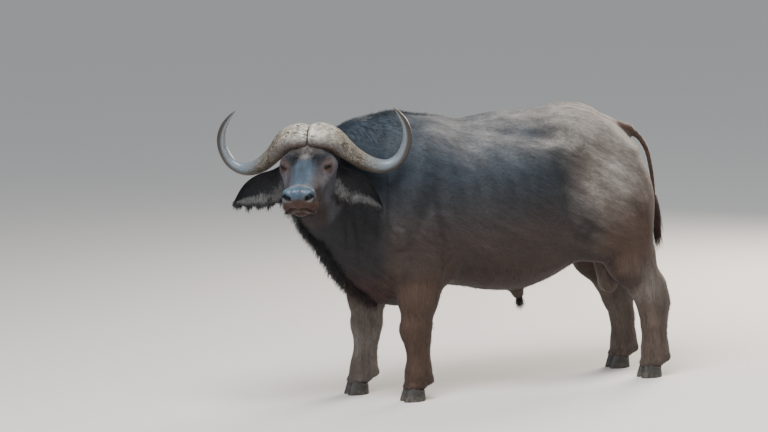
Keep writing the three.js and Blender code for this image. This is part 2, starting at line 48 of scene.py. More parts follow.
def at(forward, left, up):  # a place given in millimetres forward, to the left and up
    return np.array([shift[0] - forward * mm, shift[1] - left * mm, up * mm])


def mix(a, b, share):
    return a + (b - a) * share


def wave(x):  # eases from 0 to 1
    x = np.clip(x, 0, 1)
    return x * x * (3 - 2 * x)


def ramp(x, low, high):  # 0 below low, 1 above high, eased between
    return wave((x - low) / (high - low))


def bump(x, centre, half):  # 1 at the centre, falling to 0 at half a width away
    return wave(1 - np.abs(x - centre) / half)


def length(v):
    return np.sqrt(np.einsum("...i,...i->...", v, v))


def unit(v):
    return v / np.maximum(length(v), 1e-9)[..., None]


def curve(knots, share):
    # Cubics through the knots. Each knot's slope is weighed by the square roots of the gaps on both sides.
    knots = np.asarray(knots, float)
    padded = np.vstack([2 * knots[0] - knots[1], knots, 2 * knots[-1] - knots[-2]])
    place = np.clip(np.atleast_1d(share), 0, 1) * (len(knots) - 1)
    span = np.minimum(place.astype(int), len(knots) - 2)
    w = (place - span)[:, None]
    a, b, c, d = (padded[span + i] for i in range(4))
    first, middle, last = (np.maximum(length(q - p), 1e-7)[:, None] ** 0.5
                           for p, q in ((a, b), (b, c), (c, d)))
    leave = ((b - a) / first - (c - a) / (first + middle) + (c - b) / middle) * middle
    arrive = ((c - b) / middle - (d - b) / (middle + last) + (d - c) / last) * middle
    cubic = (2 * b - 2 * c + leave + arrive) * w ** 3 + (3 * c - 3 * b - 2 * leave - arrive) * w ** 2
    return cubic + leave * w + b


def shareOf(knots, share, steps=500):  # turns shares of the curve's length into shares of its knots
    fine = np.linspace(0, 1, steps)
    run = np.concatenate([[0], np.cumsum(length(np.diff(curve(knots, fine), axis=0)))])
    return np.interp(np.atleast_1d(share), run / run[-1], fine), run[-1]


def aheadOf(knots, t):  # the curve's direction
    return unit(curve(knots, np.minimum(t + 2e-3, 1)) - curve(knots, np.maximum(t - 2e-3, 0)))


def along(knots, share):  # the curve's places and directions at shares of its length
    t = shareOf(knots, share)[0]
    return curve(knots, t), aheadOf(knots, t)


def around(rows, sides):  # the share along a grid and the angle round it, a pair for each of its points
    share = (np.arange(rows) + 0.5) / rows
    angle = np.arange(sides) * 2 * math.pi / sides
    return np.repeat(share, sides), np.tile(angle, rows)


def hill(*offsets):  # exp(-sum of (offset / width) ** 2): 1 in the middle, falling off all round
    return np.exp(-sum((offset / width) ** 2 for offset, width in offsets))


def within(way, normals):  # the part of a direction that runs in the surface
    return way - normals * np.einsum("ij,ij->i", way, normals)[:, None]


def places(points):  # forward, left and up in millimetres
    return (shift[0] - points[:, 0]) / mm, (shift[1] - points[:, 1]) / mm, points[:, 2] / mm


def lattice(cells, salt):  # a fixed random number from -1 to 1 for each whole-number cell
    h = cells[:, 0] * 73856093 ^ cells[:, 1] * 19349663 ^ cells[:, 2] * 83492791 ^ (salt * 26544357 + 977)
    h = ((h ^ (h >> 13)) * 1274126177) & 0xFFFFFFFF
    return ((h ^ (h >> 15)) & 0xFFFF) / 32767.5 - 1


def noise(points, size, salt=0):  # values of the lattice, blended over cells of that size
    place = points / size
    base = np.floor(place).astype(np.int64)
    f = place - base
    f = f * f * (3 - 2 * f)
    total = np.zeros(len(points))
    for corner in range(8):
        step = np.array([corner & 1, corner >> 1 & 1, corner >> 2])
        weight = np.prod(np.where(step, f, 1 - f), axis=1)
        total += weight * lattice(base + step, salt)
    return total


def noises(points, size, salts):  # one noise for each direction
    return np.stack([noise(points, size, salt) for salt in salts], -1)


def cloud(points, size, salt=0, octaves=3):  # noise of two or three sizes, halved each time
    return sum(noise(points, size / 2 ** k, salt + k) / 2 ** k for k in range(octaves)) / 1.75


# Forms: each gives, for an array of points, a distance that is negative inside it

def form(field, centre, reach, width=None):
    return {"field": field, "centre": np.asarray(centre, float), "reach": reach, "width": width, "dent": False}


def egg(centre, radii, lean=0):  # near * (near - 1) / slope of an ellipsoid that leans
    radii = np.array(radii) * mm
    a = math.radians(lean)
    leaning = np.array([[math.cos(a), 0, math.sin(a)], [0, 1, 0], [-math.sin(a), 0, math.cos(a)]])

    def field(points):
        p = (points - centre) @ leaning
        near = length(p / radii)
        return near * (near - 1) / np.maximum(length(p / radii ** 2), 1e-9)
    return form(field, centre, radii.max())


def limb(start, end, startRadius, endRadius, flat=(1, 1, 1)):  # a bar whose radius runs from one to the other
    run = end - start
    flat = np.array(flat, float)
    most = flat.max()

    def field(points):
        p = points - start
        t = np.clip(p @ run / (run @ run), 0, 1)
        p = (p - t[:, None] * run) * flat
        return (length(p) - mix(startRadius, endRadius, t) * mm) / most
    reach = length(run) / 2 + max(startRadius, endRadius) * mm / flat.min()
    return form(field, (start + end) / 2, reach)


def lineOf(bones):
    return np.array([at(*bone[:3]) for bone in bones])


def chain(bones, flat=(1, 1, 1)):  # limbs from each bone to the next, given as forward, left, up and radius
    ends = lineOf(bones)
    return [limb(ends[i], ends[i + 1], bones[i][3], bones[i + 1][3], flat) for i in range(len(bones) - 1)]


def blend(shape, width):  # its own width of fillet
    return {**shape, "width": width * mm}


def dent(shape, width):  # taken out instead of added
    return {**shape, "width": width * mm, "dent": True}


def flesh(forms, width):
    # Smooth union: the nearer distance, less h * h * width / 4 where the two differ by less than the width.
    # A dent is taken out in the same way, by the further of the distance and the dent's own, turned round.
    width = width * mm

    def field(points):
        d = np.full(len(points), 1e3)
        for one in forms:
            w = one["width"] or width
            nearest = length(points - one["centre"]) - one["reach"]
            here = np.flatnonzero(nearest < (w - d if one["dent"] else d + w))
            if not len(here):
                continue
            sign = -1 if one["dent"] else 1
            own = sign * one["field"](points[here])
            was = d[here]
            h = np.maximum(w - np.abs(was - own), 0) / w
            pick = np.maximum if one["dent"] else np.minimum
            d[here] = pick(was, own) - sign * h * h * w / 4
        return d
    return field


def barrel(sections, squareness=2.25, narrowing=0.13):
    # Upright superellipse sections: |side / wide| ** n + |rise| ** n = 1, narrower at the top.
    sections = np.array(sections, float)
    spans = np.linspace(0, 1, 241)
    place = spans * (len(sections) - 1)
    i = np.minimum(place.astype(int), len(sections) - 2)
    w = (place - i)[:, None]
    last = len(sections) - 1
    a, b, c, d = (sections[np.clip(i + k, 0, last)] for k in (-1, 0, 1, 2))
    rows = b + 0.5 * w * (c - a + w * (2 * a - 5 * b + 4 * c - d + w * (3 * (b - c) + d - a)))

    def field(points):
        forward, left, up = places(points)
        x = np.clip(forward, sections[0, 0], sections[-1, 0])
        top, bottom, half = (np.interp(x, rows[:, 0], rows[:, k]) for k in (1, 2, 3))
        high = (top - bottom) / 2
        rise = (up - (top + bottom) / 2) / high
        wide = half * (1 - narrowing * np.clip(rise, -1, 1))
        reach = (np.abs(left / wide) ** squareness + np.abs(rise) ** squareness) ** (1 / squareness)
        return ((reach - 1) * np.minimum(high, wide) + np.abs(forward - x)) * mm
    return form(field, at(270, 0, 1040), 1.2)  # the barrel's middle and reach


# The body's forms

bodyLook = {
    "trunk": [  # place forward, top, bottom and half width
        [-640, 1170, 900, 40], [-560, 1395, 760, 150], [-400, 1492, 690, 225], [-240, 1540, 668, 285],
        [-60, 1532, 590, 345], [130, 1526, 535, 382], [330, 1506, 548, 378], [450, 1496, 575, 350],
        [600, 1533, 590, 315], [760, 1548, 545, 285], [900, 1524, 530, 245], [1040, 1492, 580, 200],
        [1140, 1420, 690, 140], [1190, 1300, 860, 60]],
    "coat": 3.0,  # how deep the skin lies under the solids' surface
}


def thigh(side, stride):
    return [
        egg(at(-395 + stride, side * 165, 1050), [235, 135, 330], -8),
        limb(at(-420 + stride, side * 180, 970), at(-492 + stride, side * 190, 715), 205, 150, (1, 1.38, 1)),
        limb(at(-240 + stride, side * 215, 980), at(-260 + stride, side * 225, 810), 150, 120, (1, 1.4, 1)),
        blend(egg(at(-225, side * 180, 1400), [125, 70, 60], 4), 150),
    ]


def shoulder(side, stride):
    return [
        egg(at(735, side * 190, 1120), [205, 108, 330], 12),
        limb(at(930, side * 160, 900), at(770 + stride, side * 178, 740), 150, 135, (1, 1.4, 1)),
        limb(at(640, side * 205, 930), at(700 + stride, side * 190, 730), 132, 104, (1, 1.4, 1)),
    ]


legBones = {  # from the top down: place forward, to the left, height and half width from the side
    "foreleg_left": [
        [735, 185, 700, 112], [768, 190, 560, 106], [786, 188, 390, 80], [780, 188, 305, 62],
        [777, 188, 200, 59], [783, 188, 135, 69], [800, 188, 78, 64]],
    "foreleg_right": [
        [880, -170, 700, 116], [935, -172, 545, 106], [940, -172, 385, 82], [947, -172, 300, 62],
        [958, -172, 205, 59], [968, -172, 140, 69], [995, -172, 78, 64]],
    "hindleg_left": [
        [-420, 190, 800, 96], [-496, 198, 650, 122], [-598, 196, 500, 98], [-632, 194, 415, 84],
        [-630, 190, 300, 70], [-632, 190, 190, 66], [-632, 190, 130, 72], [-612, 190, 78, 66]],
    "hindleg_right": [
        [-370, -190, 800, 92], [-450, -198, 650, 116], [-560, -196, 490, 92], [-592, -194, 405, 80],
        [-610, -190, 290, 66], [-616, -190, 190, 62], [-614, -190, 130, 70], [-592, -190, 78, 64]],
}


def legForms(bones):
    forward, left, _, half = bones[-1]
    bones = bones[:-1] + [[forward + 4, left, 88, half - 9]]  # the pastern narrows to the hoof
    forward, left, up = bones[-2][:3]
    claws = [egg(at(forward - 62, left + side * 26, up - 22), [20, 15, 24], -20) for side in (1, -1)]
    forward, left = bones[-1][:2]
    claws += [egg(at(forward + 6, left + side * 31, 86), [56, 29, 22], -14) for side in (1, -1)]
    return [blend(one, 42) for one in chain(bones, (1, 1.25, 1))] + [blend(one, 24) for one in claws]


# The head has its own frame: x down the face to the nose, y to its left and z out of the forehead.
headLook = {"turn": 62, "pitch": 25, "eyesAt": at(1432, 350, 1329), "eyeApart": 215, "eyeRadius": 24,
            "muzzle": 186}
headTurn, headDip = math.radians(headLook["turn"]), math.radians(headLook["pitch"])
noseWay = -np.array([math.cos(headTurn) * math.cos(headDip), math.sin(headTurn) * math.cos(headDip),
                     math.sin(headDip)])
leftWay = unit(np.cross([0, 0, 1], noseWay))
headAxes = np.stack([noseWay, leftWay, np.cross(noseWay, leftWay)])


def toHead(points):
    return (points - headLook["eyesAt"]) @ headAxes.T


def fromHead(points):
    return np.asarray(points) @ headAxes + headLook["eyesAt"]


def p3(x, y, z):  # a place in the head's frame, given in millimetres
    return np.array([x, y, z]) * mm


headMiddle = p3(60, 0, -60)


def eyeAt(side):
    return p3(0, side * headLook["eyeApart"] / 2, 1)


def gaze(side):  # the way an eye looks
    return unit(np.array([0.80, side * 0.66, 0.36]))


def headForms():
    both = lambda make: [make(1), make(-1)]  # the left one and the right one
    return [
        egg(p3(-120, 0, -45), [150, 126, 108]),
        limb(p3(-120, 0, 0), p3(20, 0, -2), 60, 54, (1, 0.5, 1)),
        limb(p3(20, 0, -6), p3(262, 0, -8), 54, 48, (1, 0.74, 1)),
        *both(lambda s: blend(egg(p3(-38, s * 106, 2), [48, 40, 44]), 30)),
        *both(lambda s: blend(egg(p3(-66, s * 72, 14), [44, 40, 30]), 26)),  # brow
        *both(lambda s: blend(limb(p3(-80, s * 126, -38), p3(120, s * 78, -48), 30, 24), 40)),
        *both(lambda s: egg(p3(-50, s * 80, -112), [132, 48, 98], 18)),
        limb(p3(-60, 0, -150), p3(215, 0, -100), 84, 44, (1, 0.9, 1)),
        limb(p3(20, 0, -70), p3(250, 0, -50), 80, 56, (1, 0.92, 1)),
        blend(egg(p3(272, 0, -22), [66, headLook["muzzle"] / 2 - 6, 70]), 30),
        *both(lambda s: blend(egg(p3(272, s * 60, -70), [52, 36, 40]), 24)),  # hanging upper lip
        *both(lambda s: blend(egg(p3(268, s * 76, -92), [40, 17, 20]), 14)),
        *both(lambda s: blend(egg(p3(296, s * 56, 18), [34, 33, 32]), 22)),
        blend(egg(p3(300, 0, 12), [36, 60, 36]), 22),
        blend(egg(p3(262, 0, -104), [46, 50, 26]), 18),  # lower lip and chin
        *both(lambda s: dent(egg(p3(50, s * 104, 56), [58, 34, 36]), 34)),
        *both(lambda s: dent(egg(p3(4, s * 66, 48), [34, 20, 16]), 26)),  # hollow inside the eye
        dent(egg(p3(352, 0, 20), [22, 13, 40]), 22),
        *both(lambda s: blend(egg(eyeAt(s), [headLook["eyeRadius"] + 4] * 3), 18)),
        *both(lambda s: blend(limb(p3(318, s * 83, 16), p3(330, s * 62, -12), 8, 7), 9)),  # nostril's wing
        *both(lambda s: dent(limb(p3(338, s * 50, 8), p3(296, s * 57, 14), 14, 11), 6)),
        *both(lambda s: dent(limb(p3(330, s * 60, 16), p3(304, s * 79, 25), 11, 7), 6)),
    ]


headLocal = flesh(headForms(), 46)
headForm = form(lambda points: headLocal(toHead(points)), fromHead(p3(70, 0, -50)), 0.42, 0.06)

crest = limb(at(860, 0, 1095), at(1120, 35, 1096), 200, 184, (1, 1, 0.49))
nape = limb(at(1120, 35, 1096), at(1320, 160, 1215), 184, 146, (1, 1, 0.56))
throat = limb(at(1120, 60, 880), at(1290, 180, 1030), 105, 80, (1, 1, 0.8))
trunkForms = [
    barrel(bodyLook["trunk"]), *shoulder(1, 0), *shoulder(-1, 150), *thigh(1, 0), *thigh(-1, 45),
    limb(at(880, 0, 640), at(820, 0, 600), 110, 80),
    dent(egg(at(-150, 440, 1130), [90, 110, 190]), 120),
    dent(egg(at(-150, -440, 1130), [90, 110, 190]), 120),
    crest, nape, throat,
]
tailBones = [[-470, 0, 1374, 36], [-524, 0, 1388, 30], [-586, 0, 1378, 24], [-648, 0, 1332, 18],
             [-697, 0, 1254, 15], [-724, 0, 1134, 14], [-734, 0, 1040, 13], [-739, 0, 950, 11]]
bagForms = [limb(at(-375, -10, 740), at(-442, -10, 530), 44, 52),
            *(egg(at(-446, side * 26 - 10, 520), [46, 34, 56]) for side in (1, -1))]
sheathForms = [limb(at(130, 0, 590), at(106, 0, 505), 60, 26, (0.8, 1, 1)),
               limb(at(106, 0, 505), at(100, 0, 480), 26, 9)]
skinForms = trunkForms + [headForm]
for bones in legBones.values():
    skinForms += legForms(bones)
skinForms += [blend(one, 34) for one in chain(tailBones[:4])]  # the thin part is a tube of its own
skinForms += [blend(one, 30) for one in bagForms + sheathForms]
skinField = flesh(skinForms, 90)


# Wraps: grids of points where rays from a line meet a form

def walkedIn(field, start, way, reach, steps=26):
    # Each ray walks in from its reach by 0.9 of the field's distance a step, to where it first meets the form.
    distance = np.full(len(way), reach)
    for _ in range(steps):
        distance = np.maximum(distance - 0.9 * field(start + way * distance[:, None]), 0.004)
    return distance


def rays(field, line, sides, rows, reach, fan=0.16, up=(0, 0, 1)):
    # A ray leaves the line square to it, fans out at its ends, and walks in from its reach to the surface.
    share, spin = around(rows, sides)
    t = np.clip((share - fan) / (1 - 2 * fan), 0, 1)
    lift = (np.minimum(share / fan - 1, 0) + np.maximum((share - 1) / fan + 1, 0)) * math.pi / 2
    start, ahead = along(line, t)
    side = unit(np.cross(ahead, up))
    rise = np.cross(side, ahead)
    way = side * np.sin(spin)[:, None] - rise * np.cos(spin)[:, None]
    way = way * np.cos(lift)[:, None] + ahead * np.sin(lift)[:, None]
    return (start + way * walkedIn(field, start, way, reach)[:, None]).reshape(rows, sides, 3)


def closedGrid(grid):
    # Quads between rows that close on themselves, and a fan of triangles to a pole at each end.
    rows, sides = grid.shape[:2]
    poles = np.stack([grid[0].mean(0), grid[-1].mean(0)])
    points = np.vstack([grid.reshape(-1, 3), poles])
    i = np.arange(rows - 1)[:, None] * sides
    k = np.arange(sides)[None, :]
    j = (k + 1) % sides
    quads = np.stack([i + k, i + j, i + sides + j, i + sides + k], -1).reshape(-1, 4)
    k, j = k.ravel(), j.ravel()
    first, last = rows * sides, rows * sides + 1
    low = np.stack([np.full(sides, first), j, k], -1)
    high = np.stack([(rows - 1) * sides + k, (rows - 1) * sides + j, np.full(sides, last)], -1)
    return points, quads, np.vstack([low, high])


def meshOf(name, points, quads, tris):
    mesh = bpy.data.meshes.new(name)
    mesh.vertices.add(len(points))
    mesh.vertices.foreach_set("co", np.asarray(points, np.float32).ravel())
    loops = np.concatenate([quads.ravel(), tris.ravel()]).astype(np.int32)
    starts = np.concatenate([np.arange(len(quads)) * 4, len(quads) * 4 + np.arange(len(tris)) * 3])
    mesh.loops.add(len(loops))
    mesh.loops.foreach_set("vertex_index", loops)
    mesh.polygons.add(len(starts))
    mesh.polygons.foreach_set("loop_start", starts.astype(np.int32))
    mesh.update(calc_edges=True)
    mesh.shade_smooth()
    return mesh


def outward(points, quads, tris):  # turns every face round if the shape's volume comes out negative
    corners = points[np.vstack([quads[:, :3], quads[:, [0, 2, 3]], tris])]
    if np.einsum("ij,ij->", corners[:, 0], np.cross(corners[:, 1], corners[:, 2])) < 0:
        return points, quads[:, ::-1], tris[:, ::-1]
    return points, quads, tris


def inScene(name, data):
    thing = bpy.data.objects.new(name, data)
    bpy.context.scene.collection.objects.link(thing)
    return thing


def addPiece(name, shape, material, replaced, numbers):
    # A piece with its slot and the nodes it replaces. The numbers are named, one for each vertex.
    piece = inScene(name, meshOf(name, *shape))
    piece.data.materials.append(material)
    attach(piece, "root")
    if replaced:
        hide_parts(*replaced)
    for label, values in numbers.items():
        layer = piece.data.attributes.new(label, "FLOAT", "POINT")
        layer.data.foreach_set("value", np.asarray(values, np.float32))
    return piece


def joined(parts):
    points, quads, tris, count = [], [], [], 0
    for p, q, t in parts:
        points.append(p)
        quads.append(q + count)
        tris.append(t + count)
        count += len(p)
    return np.vstack(points), np.vstack(quads), np.vstack(tris)


# The remesh works on a copy that is stretched round the head, so that the face gets the finest faces.
lens = {"centre": fromHead(p3(120, 0, -50)), "inner": 0.2, "outer": 0.45, "stretch": 3.0, "beyond": 0.9}
lensRun = np.linspace(0, 4, 4001)
lensSlope = mix(lens["stretch"], 1, wave((lensRun - lens["inner"]) / (lens["outer"] - lens["inner"])))
lensSlope = np.where(lensRun > lens["outer"], lens["beyond"], lensSlope)
lensOut = np.concatenate([[0], np.cumsum((lensSlope[1:] + lensSlope[:-1]) / 2 * np.diff(lensRun))])


def stretched(points, back=False):
    # Radial lens: a point r away from the centre moves to the sum of the stretch up to r.
    way = points - lens["centre"]
    r = np.maximum(length(way), 1e-9)
    new = np.interp(r, lensOut, lensRun) if back else np.interp(r, lensRun, lensOut)
    return lens["centre"] + way * (new / r)[:, None]


def remeshed(points, quads, tris, size):
    probe = inScene("remesh_copy", meshOf("remesh_copy", stretched(points), quads, tris))
    voxels = probe.modifiers.new("voxels", "REMESH")
    voxels.mode = "VOXEL"
    voxels.voxel_size = size
    result = probe.evaluated_get(bpy.context.evaluated_depsgraph_get()).to_mesh()
    out = np.zeros(len(result.vertices) * 3, np.float32)
    result.vertices.foreach_get("co", out)
    corners = np.zeros(len(result.loops), np.int32)
    result.loops.foreach_get("vertex_index", corners)
    counts = np.zeros(len(result.polygons), np.int32)
    result.polygons.foreach_get("loop_total", counts)
    starts = np.concatenate([[0], np.cumsum(counts)[:-1]])
    four, three = starts[counts == 4], starts[counts == 3]
    quads = corners[four[:, None] + np.arange(4)]
    tris = corners[three[:, None] + np.arange(3)]
    bpy.data.objects.remove(probe)
    return stretched(out.reshape(-1, 3).astype(float), True), quads, tris


boxCorners = np.array([[1, -1, -1], [-1, -1, 1], [-1, 1, -1], [1, 1, 1]], float)


def slopeOf(field, points, step=0.0012):  # the field's value and gradient from four corners of a small box
    values = np.stack([field(points + corner * step) for corner in boxCorners])
    return values.mean(0), np.einsum("kn,kc->nc", values, boxCorners) / (4 * step)


def settled(field, points, depth, rounds=3):  # steps of (value + depth) / slope to the surface
    for _ in range(rounds):
        value, slope = slopeOf(field, points)
        steep = np.maximum(np.einsum("ij,ij->i", slope, slope), 0.3)
        points = points - slope * np.clip((value + depth) / steep, -0.03, 0.03)[:, None]
    return points, unit(slope)


def relaxed(points, normals, links, strength, rounds=2):  # each point slides towards its neighbours' mean
    here, there = links.T
    count = np.bincount(links.ravel(), minlength=len(points))[:, None]
    for _ in range(rounds):
        total = np.stack([np.bincount(here, points[there, k], len(points))
                          + np.bincount(there, points[here, k], len(points)) for k in range(3)], -1)
        points = points + within(total / np.maximum(count, 1) - points, normals) * strength
    return points


def linksOf(quads, tris):
    pairs = [quads[:, [k, (k + 1) % 4]] for k in range(4)] + [tris[:, [k, (k + 1) % 3]] for k in range(3)]
    return np.unique(np.sort(np.vstack(pairs), axis=1), axis=0)


def normalsOf(points, quads, tris):
    faces = [(quads, 0, 1, 2), (quads, 0, 2, 3), (tris, 0, 1, 2)]
    total = np.zeros_like(points)
    for f, a, b, c in faces:
        out = np.cross(points[f[:, b]] - points[f[:, a]], points[f[:, c]] - points[f[:, a]])
        for k in (a, b, c):
            for axis in range(3):
                total[:, axis] += np.bincount(f[:, k], out[:, axis], len(points))
    return unit(total)


spine = [at(-400, 0, 1060), at(100, 0, 1030), at(700, 0, 1060), at(1080, 25, 1120), at(1310, 150, 1230)]


def skinParts():
    headLine = fromHead(np.array([p3(-190, 0, -50), p3(0, 0, -70), p3(245, 0, -62)]))
    bag = [at(-375, -10, 690), at(-442, -10, 530)]
    sheath = [at(128, 0, 580), at(102, 0, 490)]
    parts = [  # form, line, sides, rows, reach, fan and up
        (flesh(trunkForms, 90), spine, 110, 150, 0.64, 0.17),
        (headForm["field"], headLine, 150, 170, 0.33, 0.16),
        *((flesh(legForms(bones), 30), lineOf(bones), 40, 80, 0.26, 0.16, (1, 0, 0))
          for bones in legBones.values()),
        (flesh(bagForms, 30), bag, 32, 28, 0.13, 0.3),
        (flesh(sheathForms, 20), sheath, 28, 24, 0.1, 0.3, (1, 0, 0)),
        (flesh(chain(tailBones[:4]), 20), lineOf(tailBones[:4]), 16, 40, 0.06, 0.1, (0, 1, 0)),
    ]
    return joined([outward(*closedGrid(rays(*part))) for part in parts])


voxel = 0.0160
skinPoints, skinQuads, skinTris = remeshed(*skinParts(), voxel)
print("skin joined:", len(skinPoints), "points", len(skinQuads) * 2 + len(skinTris), "triangles")
skinLinks = linksOf(skinQuads, skinTris)
coat = bodyLook["coat"] * mm
skinPoints, skinNormals = settled(skinField, skinPoints, coat, 2)
skinPoints = relaxed(skinPoints, skinNormals, skinLinks, 0.6, 3)
skinPoints, skinNormals = settled(skinField, skinPoints, coat, 3)
print("skin settled")

# Eyelids: a dense ring of skin over each socket, from the opening on the eyeball out to the face

lidLook = {
    "rings": 36, "sides": 84, "wide": 0.84, "upper": 0.44, "lower": 0.37, "outer": 1.6, "rim": 3.0,
    "socket": (36, 43), "covers": 44, "deepest": 60,
    "folds": [  # each one's place, half width and height
        (0.14, 0.08, 1.3), (0.30, 0.07, 1.0), (0.38, 0.045, -1.2), (0.45, 0.06, 0.7), (0.52, 0.045, -0.8)],
    "crease": (0.22, 0.05, 1.6),  # the same, cut in deepest above the eye
}


def lidGrid(side):
    # Rings outwards from the almond-shaped opening. The radius runs from the eyeball's to the face's by b.
    rings, sides = lidLook["rings"], lidLook["sides"]
    b = np.repeat(np.arange(rings) / (rings - 1), sides)
    spin = around(rings, sides)[1]
    high = np.where(np.sin(spin) > 0, lidLook["upper"], lidLook["lower"])
    edge = np.stack([lidLook["wide"] * np.cos(spin), high * np.sin(spin)], -1)
    rim = lidLook["outer"] * np.stack([np.cos(spin), np.sin(spin)], -1)
    lean = mix(edge, rim, (b ** 1.15)[:, None])
    angle = length(lean)
    ahead = gaze(side)
    across = unit(np.cross([0, 0, 1], ahead)) * side
    over = np.cross(ahead, across * side)
    way = (np.sin(angle) / np.maximum(angle, 1e-6))[:, None]
    way = way * (lean[:, :1] * across + lean[:, 1:] * over) + np.cos(angle)[:, None] * ahead
    eyeball = headLook["eyeRadius"] * mm
    face = walkedIn(lambda points: headLocal(points) + coat, eyeAt(side), way, 0.12)
    face = np.clip(face, eyeball + 2 * mm, lidLook["deepest"] * mm)
    face = face + (0.5 - 3.4 * wave((face - lidLook["covers"] * mm) / 0.014)) * mm
    ragged = b + 0.03 * noise(fromHead(eyeAt(side) + way * face[:, None]), 0.012, 7)
    above = 0.6 + 0.4 * np.sin(spin)
    folds = sum(high * bump(ragged, middle, half) for middle, half, high in lidLook["folds"])
    middle, half, high = lidLook["crease"]
    folds = folds - high * above * bump(ragged, middle, half)
    onEye = eyeball + 0.4 * mm + lidLook["rim"] * mm * wave(b / 0.1)
    radius = mix(onEye, face, wave((b - 0.08) / 0.42)) + folds * mm
    grid = eyeAt(side) + way * radius[:, None]
    inner = eyeAt(side) + way[:sides] * (eyeball - 3 * mm)  # the lids' inner faces, inside the eyeball
    last = grid[-sides:] - ahead * 8 * mm
    grid = fromHead(np.vstack([inner, grid, last])).reshape(rings + 2, sides, 3)
    return closedGrid(grid), np.concatenate([np.zeros(sides), b, np.ones(sides), [0, 1]])


def lidMarks(b, away, marks):
    # Dark at the rim of the opening, pinkish brown past it, painted shade in the lid's crease and the groove
    # beyond it, then as on the face.
    dark = 0.95 * (1 - ramp(b, 0.05, 0.10)) + 0.45 * bump(b, 0.22, 0.05) + 0.35 * bump(b, 0.38, 0.045)
    pink = 0.42 * bump(b, 0.13, 0.1) + 0.2 * (1 - ramp(b, 0.2, 0.6))
    own = evenMarks(len(b), dark=dark, pink=pink, brown=0.75, bare=0.4 * (1 - ramp(b, 0.1, 0.3)))
    return mix(own, marks, np.maximum(ramp(b, 0.22, 0.6), ramp(away / mm, 27, 40))[:, None])


def socketed(points, deep=26):
    # The skin near each eye is pushed in by deep, eased off at the socket's edge, to clear the eye and its lids.
    local = toHead(points)
    near, far = (reach * mm for reach in lidLook["socket"])
    for side in (1, -1):
        away = local - eyeAt(side)
        share = 1 - wave((length(away) - near) / (far - near))
        share = share * ramp(unit(away) @ gaze(side), 0.02, 0.3)
        points = points - (gaze(side) @ headAxes) * (share * deep * mm)[:, None]
    return points


lids = [lidGrid(1), lidGrid(-1)]
skinPoints = socketed(skinPoints)
lidShapes = [outward(*shape) for shape, _ in lids]
bodyCount = len(skinPoints)
skinPoints, skinQuads, skinTris = joined([(skinPoints, skinQuads, skinTris), *lidShapes])
skinNormals = np.vstack([skinNormals, *(normalsOf(*shape) for shape in lidShapes)])

# Folds, bones and tendons, drawn on the skin as lines: forward, left and up in millimetres, the left side's

